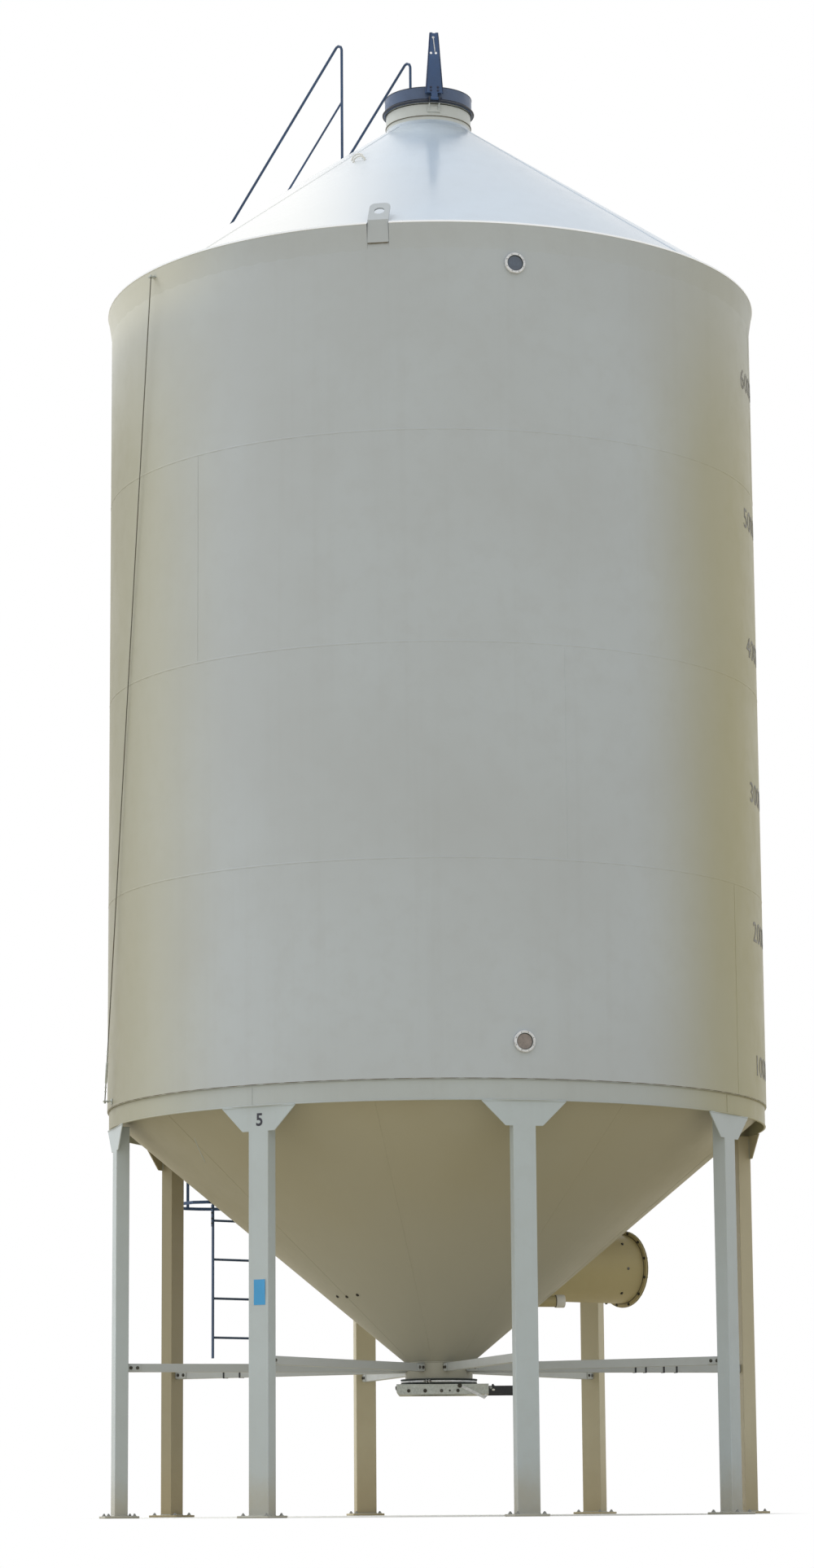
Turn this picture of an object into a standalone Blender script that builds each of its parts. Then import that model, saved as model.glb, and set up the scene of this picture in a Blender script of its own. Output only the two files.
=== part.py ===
"""Smooth-wall hopper-bottom bin on eight legs, built as separate closed bodies.

Metres, +Z up, front towards -Y, ground at Z = 0.  Angles are azimuths in degrees from the
front (-Y) towards +X, so a point at radius r and azimuth a is (r sin a, -r cos a) from the
bin's axis.  Each piece is modelled in a local frame (x along the wall, -y outwards, z up) and
turned about that axis to its azimuth.  The whole bin then moves back by AXIS_Y, which puts the
origin under the middle of its overall box, ladder cage included.
"""
import math

import bmesh
import bpy
from mathutils import Matrix, Vector

# Fits
GAP = 0.0003                    # clearance between two pieces that touch
RUN_GAP = 0.0006                # clearance of a sliding or turning fit
AXIS_Y = -0.1528                # where the bin's axis stands

# Shell
BODY_R = 2.4384                 # outside radius of the wall
SHELL_T = 0.005                 # sheet thickness
WALL_BASE = 2.946               # bottom edge of the first course
COURSE_H = 1.524                # height of one course of sheet
COURSES = 4
BODY_SEGMENTS = 96
WALL_TOP = WALL_BASE + COURSES * COURSE_H

RING_R = BODY_R - 0.0129        # outside radius of the band under the wall
RING_T = 0.009
RING_BASE = WALL_BASE - 0.150
RING_SEAT_T = 0.006             # ledge that carries the wall

ROOF_SLOPE = 35.0
ROOF_TAN = math.tan(math.radians(ROOF_SLOPE))
ROOF_LIP = 0.024                # how far the roof runs past the wall
ROOF_RISE_Z = WALL_TOP + GAP    # underside of the roof sheet over the wall
ROOF_SHEET_H = SHELL_T / math.cos(math.radians(ROOF_SLOPE))

HOPPER_APEX_Z = 0.900           # where the hopper's outer face would come to a point
HOPPER_RIM_R = RING_R - RING_T - GAP
HOPPER_RIM_Z = WALL_BASE - 0.040554
HOPPER_TAN = (HOPPER_RIM_Z - HOPPER_APEX_Z) / HOPPER_RIM_R

# Fill collar and lid
COLLAR_R = 0.3275
COLLAR_T = 0.005
COLLAR_FOOT = ROOF_RISE_Z + ROOF_SHEET_H + (BODY_R - COLLAR_R) * ROOF_TAN
COLLAR_TOP = COLLAR_FOOT + 0.1735
COLLAR_BEAD_Z = COLLAR_TOP - 0.115
LID_TOP = COLLAR_TOP + 0.110
LID_BASE = COLLAR_TOP - 0.017
LID_SKIRT_R = COLLAR_R + 0.0085
LID_RIM_R = LID_SKIRT_R + 0.012
LID_T = 0.003
ROUND_SEGMENTS = 64

HINGE_AZ = 7.2
HINGE_R = LID_RIM_R + 0.030     # distance of the lid's hinge from the bin's axis
HINGE_Z = COLLAR_TOP
PIN_R = 0.006
BARREL_R = 0.012
LEVER_BASE_W = 0.138
LEVER_TOP_W = 0.067
LEVER_TOP_Z = HINGE_Z + 0.530
LEVER_BASE_Z = HINGE_Z + 0.045
LEVER_DEPTH = 0.030
LEVER_T = 0.005
LEVER_HOLE_R = 0.008
LEVER_SLOT_H = 0.005            # shallow notch in the lever's upper end

# Outlet
BOOT_R = 0.2470
BOOT_T = 0.005
BOOT_BASE = 0.985
BOOT_TOP = 1.104
GASKET_R = BOOT_R + 0.029
GASKET_BASE = 0.944
GATE_LEFT = -0.311
GATE_RIGHT = 0.360
GATE_HALF_W = 0.270
GATE_BASE = 0.869
GATE_CHAMFER = 0.025            # bevel under the frame's closed end
GATE_WALL = 0.022
GATE_HOLE_R = 0.212
SLIDE_T = 0.008
SLIDE_Z = 0.912
SLIDE_LEFT = -0.262
SLIDE_RIGHT = 0.400
PULL_H = 0.030                  # lip that the slide is pulled by
PULL_HALF_W = 0.100
PULL_T = 0.012
RAIL_END = 0.690                # far end of the rails that carry the open slide
RAIL_BASE = 0.871
RAIL_TOP = 0.929
RAIL_WEB_T = 0.006
RAIL_FLANGE_W = 0.030
LATCH_W = 0.020
LATCH_T = 0.005
LATCH_TOP = (0.153, 0.932)
LATCH_LOW = (0.325, 0.846)
LATCH_TIP = (0.344, 0.864)

# Legs and struts
LEG_COUNT = 8
LEG_FIRST_AZ = 14.1
LEG_FACE_R = BODY_R - 0.0224    # flat outer face of every leg
LEG_W = 0.160
LEG_DEPTH = 0.096
FOOT_SIDE = 0.250
FOOT_T = 0.016
GUSSET_TOP_W = 0.600
GUSSET_BASE_W = 0.265
GUSSET_H = 0.172
GUSSET_LEDGE = 0.006
GUSSET_T = 0.009
STRUT_Z = 1.065
STRUT_H = 0.060
STRUT_W = 0.050

# Aeration duct
DUCT_AZ = 126.5
DUCT_Z = HOPPER_APEX_Z + 0.46673 * (HOPPER_RIM_Z - HOPPER_APEX_Z)
DUCT_R = 0.260
DUCT_T = 0.006
DUCT_REACH = 0.6343             # from the hopper's face to the open end, along the middle
DUCT_END = (DUCT_Z - HOPPER_APEX_Z) / HOPPER_TAN + DUCT_REACH
DUCT_FLANGE_R = DUCT_R + 0.030
COVER_T = 0.010

# Sample port on the hopper
SAMPLE_AZ = 102.0
SAMPLE_Z = HOPPER_APEX_Z + 0.32711 * (HOPPER_RIM_Z - HOPPER_APEX_Z)
SAMPLE_R = 0.042
SAMPLE_CAP_R = 0.046
SAMPLE_NECK = (SAMPLE_Z - HOPPER_APEX_Z) / HOPPER_TAN + 0.0946   # where the cap begins
SAMPLE_CAP_L = 0.070
SAMPLE_END = SAMPLE_NECK + SAMPLE_CAP_L

# Ladder
LADDER_AZ = 216.6
LADDER_R = BODY_R + 0.2076      # rail centre from the bin's axis
RAIL_HALF = 0.230               # rail centre from the ladder's centre line
RAIL_W = 0.008
RAIL_DEPTH = 0.028
RUNG_STEP = 0.3048
RUNG_R = 0.010
FIRST_RUNG_Z = 1.382
LADDER_BASE = WALL_BASE - 1.726
LADDER_SPLIT = 5.340
LADDER_RISE = 1.058             # how far the rails stand over the eave
LADDER_TOP = WALL_TOP + LADDER_RISE
TIE_COUNT = 4
TIE_FIRST_Z = WALL_BASE + 0.414
TIE_LAST_Z = WALL_TOP - 0.230
TIE_T = 0.006
TIE_H = 0.040
CAGE_BASE = WALL_BASE - 0.516
CAGE_TOP = LADDER_TOP - 0.020
CAGE_HALF = 0.340
CAGE_DEPTH = 0.700
CAGE_HOOPS = 7
HOOP_H = 0.025
HOOP_T = 0.006
STRAP_W = 0.025

RAILING_HALF = 0.336            # railing tube centre from the ladder's centre line
RAILING_R = 0.0105
RAILING_TOP_OFFSET = 1.180      # height of the top rail over the roof
RAILING_MID_OFFSET = 0.660
RAILING_FALL = 0.010             # extra fall of the rails towards the eave
RAILING_IN = COLLAR_R + 0.3545  # distance of the upper post from the bin's axis
RAILING_OUT = BODY_R - 0.1384
ROOF_LADDER_OUT = BODY_R - 0.0984
ROOF_LADDER_IN = COLLAR_R + 0.2925

# Wall fittings
PORT_AZ = 14.1
PORT_HEIGHTS = (WALL_TOP - 0.301, WALL_BASE + 0.252)
PORT_R = 0.076
PORT_GLASS_R = 0.058
PORT_DEPTH = 0.020
LUG_AZ = -8.8
LUG_W = 0.150
LUG_BASE = WALL_TOP - 0.154
LUG_BEND_Z = WALL_TOP + 0.010   # the plate leans back over the roof above this
LUG_LEAN = 37.0
LUG_REACH = 0.200               # length of the leaning part
LUG_CORNER_R = 0.045
LUG_T = 0.012
LUG_HOLE_R = 0.0375
LUG_HOLE_DROP = 0.095           # hole centre below the top edge

CABLE_TOP_AZ = -55.5
CABLE_TOP_Z = WALL_TOP - 0.082
CABLE_FOOT_AZ = -75.9
CABLE_FOOT_Z = WALL_BASE + 0.044
CABLE_R = 0.004
CABLE_STAND = 0.052             # cable centre off the wall at both ends


def scene_cleared():
    for item in list(bpy.data.objects):
        bpy.data.objects.remove(item, do_unlink=True)


def principled(name, colour, roughness, metallic=0.0):
    mat = bpy.data.materials.new(name)
    mat.use_nodes = True
    shader = mat.node_tree.nodes["Principled BSDF"]
    shader.inputs["Base Color"].default_value = (colour[0], colour[1], colour[2], 1.0)
    shader.inputs["Roughness"].default_value = roughness
    shader.inputs["Metallic"].default_value = metallic
    mat.diffuse_color = (colour[0], colour[1], colour[2], 1.0)
    return mat


CREAM = (0.60, 0.585, 0.50)
ROOF_WHITE = (0.72, 0.73, 0.72)
DARK_STEEL = (0.028, 0.045, 0.080)
LID_GREY = (0.060, 0.066, 0.085)
GALVANISED = (0.42, 0.45, 0.46)
BLACK = (0.020, 0.022, 0.024)
GLASS_BLUE = (0.070, 0.095, 0.125)
CABLE_GREY = (0.20, 0.20, 0.19)


# Mesh building
def lathe(bm, profile, segments):
    """Close a loop of (r, z) points into a body of revolution about local Z."""
    rings = []
    for r, z in profile:
        ring = []
        for i in range(segments):
            a = 2.0 * math.pi * i / segments
            ring.append(bm.verts.new((r * math.sin(a), -r * math.cos(a), z)))
        rings.append(ring)
    for k in range(len(rings)):
        low = rings[k]
        high = rings[(k + 1) % len(rings)]
        for i in range(segments):
            j = (i + 1) % segments
            bm.faces.new((low[i], low[j], high[j], high[i]))


def disc_lathe(bm, profile, segments):
    """Turn an open run of (r, z) points into a solid capped flat at both ends."""
    rings = []
    for r, z in profile:
        ring = []
        for i in range(segments):
            a = 2.0 * math.pi * i / segments
            ring.append(bm.verts.new((r * math.sin(a), -r * math.cos(a), z)))
        rings.append(ring)
    for low, high in zip(rings, rings[1:]):
        for i in range(segments):
            j = (i + 1) % segments
            bm.faces.new((low[i], low[j], high[j], high[i]))
    bm.faces.new(rings[0])
    bm.faces.new(rings[-1])


def box(bm, low, high):
    """Add an upright box between two corners."""
    verts = []
    for z in (low[2], high[2]):
        for x, y in ((low[0], low[1]), (high[0], low[1]), (high[0], high[1]), (low[0], high[1])):
            verts.append(bm.verts.new((x, y, z)))
    bottom = verts[:4]
    top = verts[4:]
    bm.faces.new(bottom)
    bm.faces.new(top)
    for i in range(4):
        j = (i + 1) % 4
        bm.faces.new((bottom[i], bottom[j], top[j], top[i]))


def prism(bm, outline, near, far):
    """Extrude an outline of (x, z) points between two values of local y."""
    front = [bm.verts.new((x, near, z)) for x, z in outline]
    back = [bm.verts.new((x, far, z)) for x, z in outline]
    bm.faces.new(front)
    bm.faces.new(back)
    for i in range(len(outline)):
        j = (i + 1) % len(outline)
        bm.faces.new((front[i], front[j], back[j], back[i]))


def tube(bm, path, radius, sides, spin=0.0):
    """Sweep a round section along a path of points, capped at both ends."""
    points = [Vector(p) for p in path]
    count = len(points)
    rings = []
    up = None
    for i, point in enumerate(points):
        before = points[max(i - 1, 0)]
        after = points[min(i + 1, count - 1)]
        along = (after - before).normalized()
        if up is None:
            seed = Vector((0, 0, 1)) if abs(along.z) < 0.9 else Vector((1, 0, 0))
            up = (seed - along * seed.dot(along)).normalized()
        else:
            up = (up - along * up.dot(along)).normalized()
        side = along.cross(up)
        if 0 < i < count - 1:
            turn = (points[i] - points[i - 1]).angle(points[i + 1] - points[i])
        else:
            turn = 0.0
        stretch = 1.0 / math.cos(turn / 2.0)
        bend = Vector((0, 0, 0))
        if turn > 1e-6:
            first = (points[i] - points[i - 1]).normalized()
            second = (points[i + 1] - points[i]).normalized()
            bend = (second - first).normalized()
        ring = []
        for k in range(sides):
            a = 2.0 * math.pi * (k + spin) / sides
            offset = side * (math.cos(a) * radius) + up * (math.sin(a) * radius)
            if turn > 1e-6:
                offset += bend * (offset.dot(bend) * (stretch - 1.0))
            ring.append(bm.verts.new(point + offset))
        rings.append(ring)
    for low, high in zip(rings, rings[1:]):
        for i in range(sides):
            j = (i + 1) % sides
            bm.faces.new((low[i], low[j], high[j], high[i]))
    bm.faces.new(rings[0])
    bm.faces.new(rings[-1])
    return rings


def band(bm, path, half_t, low, high):
    """Stand a flat bar on edge along a path of local (x, y) points."""
    count = len(path)
    sections = []
    for i in range(count):
        before = Vector(path[max(i - 1, 0)])
        after = Vector(path[min(i + 1, count - 1)])
        here = Vector(path[i])
        along = (after - before).normalized()
        normal = Vector((-along.y, along.x))
        reach = half_t
        if 0 < i < count - 1:
            turn = (here - before).angle(after - here)
            reach = half_t / math.cos(turn / 2.0)
        inner = here + normal * reach
        outer = here - normal * reach
        sections.append([bm.verts.new((p.x, p.y, z))
                         for p, z in ((inner, low), (outer, low), (outer, high), (inner, high))])
    for a, b in zip(sections, sections[1:]):
        for i in range(4):
            j = (i + 1) % 4
            bm.faces.new((a[i], a[j], b[j], b[i]))
    bm.faces.new(sections[0])
    bm.faces.new(sections[-1])


def piece(name, bm, mat, azimuth=0.0, smooth=None):
    """Finish a mesh as one named object turned to its azimuth."""
    bmesh.ops.recalc_face_normals(bm, faces=bm.faces)
    mesh = bpy.data.meshes.new(name)
    bm.to_mesh(mesh)
    bm.free()
    obj = bpy.data.objects.new(name, mesh)
    bpy.context.scene.collection.objects.link(obj)
    obj.rotation_euler = (0.0, 0.0, math.radians(azimuth))
    if mat is not None:
        mesh.materials.append(mat)
    if smooth is not None:
        mesh.shade_smooth()
        mesh.set_sharp_from_angle(angle=math.radians(smooth))
    return obj


def helper(name, bm, azimuth=0.0):
    """Make a hidden body that only cuts or joins."""
    obj = piece(name, bm, None, azimuth)
    obj.hide_render = True
    obj.display_type = 'WIRE'
    return obj


def boolean(obj, other, operation):
    mod = obj.modifiers.new(operation.lower() + "_" + other.name, 'BOOLEAN')
    mod.operation = operation
    mod.solver = 'EXACT'
    mod.object = other


def roof_z(r):
    """Height of the roof's outer face at a distance from the axis."""
    return ROOF_RISE_Z + ROOF_SHEET_H + (BODY_R - r) * ROOF_TAN


def wall_reach(x, azimuth):
    """Distance from the axis to the wall's flat facets, along local -y at a local x."""
    pitch = 2.0 * math.pi / BODY_SEGMENTS
    flat = BODY_R * math.cos(pitch / 2.0)
    y = BODY_R
    for _ in range(6):
        turn = (math.radians(azimuth) + math.atan2(x, y)) % pitch
        r = flat / math.cos(turn - pitch / 2.0)
        y = math.sqrt(r * r - x * x)
    return y


def hopper_z(r):
    """Height of the hopper's outer face at a distance from the axis."""
    return HOPPER_APEX_Z + HOPPER_TAN * r


def hopper_r(z):
    """Distance of the hopper's outer face from the axis at a height."""
    return (z - HOPPER_APEX_Z) / HOPPER_TAN


def sideways(bm, z):
    """Turn a body of revolution to lie along local -y at a height."""
    bmesh.ops.transform(bm, matrix=Matrix.Translation((0, 0, z))
                        @ Matrix.Rotation(math.radians(90), 4, 'X'), verts=bm.verts)


# Shell
def build_wall(mat):
    for i in range(COURSES):
        low = WALL_BASE + i * COURSE_H + (GAP if i else 0.0)
        high = WALL_BASE + (i + 1) * COURSE_H
        bm = bmesh.new()
        lathe(bm, [(BODY_R, low), (BODY_R, high), (BODY_R - SHELL_T, high),
                   (BODY_R - SHELL_T, low)], BODY_SEGMENTS)
        piece("wall_course_%d" % (i + 1), bm, mat, 0.0, 30.0)


def build_base_ring(mat):
    bm = bmesh.new()
    top = WALL_BASE - GAP
    seat = BODY_R - 0.001
    lathe(bm, [(RING_R, RING_BASE), (RING_R, top - RING_SEAT_T), (seat, top - RING_SEAT_T),
               (seat, top), (RING_R - RING_T, top), (RING_R - RING_T, RING_BASE)], BODY_SEGMENTS)
    piece("base_ring", bm, mat, 0.0, 30.0)


def build_roof(mat, collar_mat):
    thick = ROOF_SHEET_H
    inner = COLLAR_R + 2.0 * GAP
    outer = BODY_R + ROOF_LIP
    bm = bmesh.new()
    lathe(bm, [(outer, roof_z(outer) - thick), (outer, roof_z(outer)), (inner, roof_z(inner)),
               (inner, roof_z(inner) - thick)], BODY_SEGMENTS)
    roof = piece("roof_cone", bm, mat, 0.0, 25.0)
    for tag, azimuth in (("front", LUG_AZ), ("rear", LUG_AZ + 180.0)):
        bm = bmesh.new()
        side = LUG_W / 2.0 + 0.002
        box(bm, (-side, -BODY_R - 0.1, LUG_BASE), (side, -BODY_R - 0.0002, WALL_TOP + 0.1))
        boolean(roof, helper("cut_lug_" + tag, bm, azimuth), 'DIFFERENCE')

    low = COLLAR_FOOT - 0.030
    bead = 0.004
    wall = COLLAR_R - COLLAR_T
    bm = bmesh.new()
    lathe(bm, [(COLLAR_R, low), (COLLAR_R, COLLAR_BEAD_Z - 2.0 * bead),
               (COLLAR_R + bead, COLLAR_BEAD_Z - bead), (COLLAR_R + bead, COLLAR_BEAD_Z),
               (COLLAR_R, COLLAR_BEAD_Z + bead), (COLLAR_R, COLLAR_TOP),
               (wall, COLLAR_TOP), (wall, low)], ROUND_SEGMENTS)
    piece("roof_collar", bm, collar_mat, 0.0, 30.0)


def build_hopper(mat):
    rim_r = HOPPER_RIM_R
    rim_z = HOPPER_RIM_Z
    rim_top = WALL_BASE - 0.004
    slant = math.atan(HOPPER_TAN)
    inset = SHELL_T / math.sin(slant)
    foot_z = BOOT_TOP + GAP
    foot_r = hopper_r(foot_z)
    inner_rim_z = hopper_z(rim_r - SHELL_T) + SHELL_T / math.cos(slant)
    bm = bmesh.new()
    lathe(bm, [(foot_r, foot_z), (rim_r, rim_z), (rim_r, rim_top), (rim_r - SHELL_T, rim_top),
               (rim_r - SHELL_T, inner_rim_z), (foot_r - inset, foot_z)], BODY_SEGMENTS)
    hopper = piece("hopper_cone", bm, mat, 0.0, 25.0)
    bm = bmesh.new()
    bore = DUCT_R - DUCT_T
    disc_lathe(bm, [(bore, hopper_r(DUCT_Z - DUCT_R) - 0.3), (bore, DUCT_END)], 48)
    sideways(bm, DUCT_Z)
    boolean(hopper, helper("cut_duct_mouth", bm, DUCT_AZ), 'DIFFERENCE')


def trim_to_hopper(obj, tag):
    """Cut a fitting off along the hopper's outer face, a hair outside it."""
    bm = bmesh.new()
    drop = 4.0 * GAP
    far = BODY_R - 0.1
    near = 0.02
    top = WALL_TOP / 2.0
    disc_lathe(bm, [(near, hopper_z(near) - drop), (far, hopper_z(far) - drop), (far, top),
                    (near, top)], BODY_SEGMENTS)
    boolean(obj, helper("cut_hopper_" + tag, bm), 'DIFFERENCE')


def build_duct(mat, cover_mat):
    """Round duct standing out of the hopper, trimmed to the cone, with a bolted cover."""
    bm = bmesh.new()
    start = hopper_r(DUCT_Z - DUCT_R) - 0.2
    lathe(bm, [(DUCT_R, start), (DUCT_R, DUCT_END - 0.010), (DUCT_FLANGE_R, DUCT_END - 0.010),
               (DUCT_FLANGE_R, DUCT_END), (DUCT_R - DUCT_T, DUCT_END), (DUCT_R - DUCT_T, start)], 48)
    sideways(bm, DUCT_Z)
    duct = piece("aeration_duct", bm, mat, DUCT_AZ, 30.0)
    trim_to_hopper(duct, "duct")

    bm = bmesh.new()
    near = DUCT_END + GAP
    disc_lathe(bm, [(DUCT_FLANGE_R, near), (DUCT_FLANGE_R, near + COVER_T)], 48)
    sideways(bm, DUCT_Z)
    piece("duct_cover", bm, cover_mat, DUCT_AZ, 30.0)


def build_sample_port(mat):
    bm = bmesh.new()
    start = hopper_r(SAMPLE_Z - SAMPLE_R) - 0.05
    disc_lathe(bm, [(SAMPLE_R, start), (SAMPLE_R, SAMPLE_NECK), (SAMPLE_CAP_R, SAMPLE_NECK),
                    (SAMPLE_CAP_R, SAMPLE_END - 0.006), (SAMPLE_CAP_R - 0.006, SAMPLE_END)], 24)
    sideways(bm, SAMPLE_Z)
    port = piece("sample_port", bm, mat, SAMPLE_AZ, 30.0)
    trim_to_hopper(port, "sample")


# Outlet
def build_outlet(mat, gasket_mat, gate_mat, slide_mat):
    bm = bmesh.new()
    lathe(bm, [(BOOT_R, BOOT_BASE), (BOOT_R, BOOT_TOP), (BOOT_R - BOOT_T, BOOT_TOP),
               (BOOT_R - BOOT_T, BOOT_BASE)], ROUND_SEGMENTS)
    piece("outlet_boot", bm, mat, 0.0, 30.0)

    bm = bmesh.new()
    top = BOOT_BASE - GAP
    low = GASKET_BASE + GAP
    groove = (top + low) / 2.0
    lathe(bm, [(GASKET_R, low), (GASKET_R, groove - 0.004), (GASKET_R - 0.006, groove),
               (GASKET_R, groove + 0.004), (GASKET_R, top), (BOOT_R - BOOT_T, top),
               (BOOT_R - BOOT_T, low)], ROUND_SEGMENTS)
    piece("outlet_gasket", bm, gasket_mat, 0.0, 30.0)

    bm = bmesh.new()
    prism(bm, [(GATE_LEFT, GASKET_BASE), (GATE_LEFT, GATE_BASE + GATE_CHAMFER),
               (GATE_LEFT + GATE_CHAMFER * 0.76, GATE_BASE), (GATE_RIGHT, GATE_BASE),
               (GATE_RIGHT, GASKET_BASE)], -GATE_HALF_W, GATE_HALF_W)
    frame = piece("gate_frame", bm, gate_mat)
    bm = bmesh.new()
    disc_lathe(bm, [(GATE_HOLE_R, GATE_BASE - 0.05), (GATE_HOLE_R, GASKET_BASE + 0.05)], 48)
    boolean(frame, helper("cut_gate_hole", bm), 'DIFFERENCE')
    bm = bmesh.new()
    side = GATE_HALF_W - GATE_WALL
    box(bm, (GATE_LEFT + GATE_WALL, -side, SLIDE_Z - SLIDE_T / 2.0 - RUN_GAP),
        (GATE_RIGHT + 0.05, side, SLIDE_Z + SLIDE_T / 2.0 + RUN_GAP))
    boolean(frame, helper("cut_slide_slot", bm), 'DIFFERENCE')

    bm = bmesh.new()
    side -= RUN_GAP
    half = SLIDE_T / 2.0
    box(bm, (SLIDE_LEFT, -side, SLIDE_Z - half), (SLIDE_RIGHT, side, SLIDE_Z + half))
    piece("gate_slide", bm, slide_mat)
    bm = bmesh.new()
    lip = SLIDE_Z + half + GAP
    pull = SLIDE_RIGHT - 2.0 * GAP
    box(bm, (pull - PULL_T, -PULL_HALF_W, lip), (pull, PULL_HALF_W, lip + PULL_H))
    piece("gate_handle", bm, slide_mat)
    build_gate_rails(slide_mat)
    build_gate_latch(gate_mat)


def build_gate_rails(mat):
    """Two angle rails beside the open slide, joined by a bar that the slide passes over."""
    near = GATE_HALF_W - GATE_WALL + RUN_GAP
    far = near + RAIL_WEB_T
    start = GATE_RIGHT + GAP
    bm = bmesh.new()
    box(bm, (RAIL_END - RAIL_WEB_T, -far, RAIL_BASE), (RAIL_END, far, RAIL_BASE + RAIL_FLANGE_W))
    rails = piece("gate_rails", bm, mat)
    for tag, side in (("front", -1), ("rear", 1)):
        outline = [(far, RAIL_BASE), (far, RAIL_TOP), (near, RAIL_TOP), (near, RAIL_BASE + RAIL_WEB_T),
                   (near - RAIL_FLANGE_W, RAIL_BASE + RAIL_WEB_T), (near - RAIL_FLANGE_W, RAIL_BASE)]
        bm = bmesh.new()
        first = [bm.verts.new((start, side * y, z)) for y, z in outline]
        second = [bm.verts.new((RAIL_END, side * y, z)) for y, z in outline]
        bm.faces.new(first)
        bm.faces.new(second)
        for i in range(len(outline)):
            j = (i + 1) % len(outline)
            bm.faces.new((first[i], first[j], second[j], second[i]))
        boolean(rails, helper("join_rail_" + tag, bm), 'UNION')


def build_gate_latch(mat):
    """Cranked flat bar on the front of the frame that holds the slide shut."""
    points = [Vector((p[0], p[1])) for p in (LATCH_TOP, LATCH_LOW, LATCH_TIP)]
    half = LATCH_W / 2.0
    first = (points[1] - points[0]).normalized()
    second = (points[2] - points[1]).normalized()
    side_a = Vector((-first.y, first.x))
    side_b = Vector((-second.y, second.x))
    miter = (side_a + side_b).normalized()
    miter = miter * (half / miter.dot(side_a))
    outline = [points[0] + side_a * half, points[1] + miter, points[2] + side_b * half,
               points[2] - side_b * half, points[1] - miter, points[0] - side_a * half]
    face = -(GATE_HALF_W + GAP)
    bm = bmesh.new()
    prism(bm, [(p.x, p.y) for p in outline], face - LATCH_T, face)
    piece("gate_latch", bm, mat)


# Legs and struts
def build_legs(mat):
    top = RING_BASE - GAP
    for i in range(LEG_COUNT):
        azimuth = LEG_FIRST_AZ + i * 360.0 / LEG_COUNT
        tag = "%d" % (i + 1)
        bm = bmesh.new()
        half = LEG_W / 2.0
        inner = LEG_FACE_R - LEG_DEPTH
        box(bm, (-half, -LEG_FACE_R, FOOT_T / 2.0), (half, -inner, top))
        leg = piece("leg_" + tag, bm, mat, azimuth)
        bm = bmesh.new()
        wide = GUSSET_TOP_W / 2.0
        slim = GUSSET_BASE_W / 2.0
        low = top - GUSSET_H
        prism(bm, [(-wide, top), (-wide, top - GUSSET_LEDGE), (-slim, low), (slim, low),
                   (wide, top - GUSSET_LEDGE), (wide, top)],
              -LEG_FACE_R, -LEG_FACE_R + GUSSET_T)
        foot = FOOT_SIDE / 2.0
        mid = (LEG_FACE_R + inner) / 2.0
        box(bm, (-foot, -mid - foot, 0.0), (foot, -mid + foot, FOOT_T))
        boolean(leg, helper("join_leg_" + tag, bm, azimuth), 'UNION')

        bm = bmesh.new()
        half = STRUT_W / 2.0
        box(bm, (-half, -(inner - GAP), STRUT_Z - STRUT_H / 2.0),
            (half, -(BOOT_R + GAP), STRUT_Z + STRUT_H / 2.0))
        piece("strut_" + tag, bm, mat, azimuth)


# Lid
def hinge_frame(obj):
    """Put a piece's origin on the lid's hinge axis."""
    turn = math.radians(HINGE_AZ)
    obj.data.transform(Matrix.Translation((0.0, HINGE_R, -HINGE_Z)))
    obj.location = (HINGE_R * math.sin(turn), -HINGE_R * math.cos(turn), HINGE_Z)


def channel(bm, face):
    """Tapered channel of the lid's lever, web to the front and flanges turned back."""
    rings = []
    for half, z in ((LEVER_BASE_W / 2.0, LEVER_BASE_Z), (LEVER_TOP_W / 2.0, LEVER_TOP_Z)):
        back = face + LEVER_DEPTH
        web = face + LEVER_T
        inner = half - LEVER_T
        outline = [(-half, face), (half, face), (half, back), (inner, back), (inner, web),
                   (-inner, web), (-inner, back), (-half, back)]
        rings.append([bm.verts.new((x, y, z)) for x, y in outline])
    bm.faces.new(rings[0])
    bm.faces.new(rings[1])
    for i in range(8):
        j = (i + 1) % 8
        bm.faces.new((rings[0][i], rings[0][j], rings[1][j], rings[1][i]))


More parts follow.
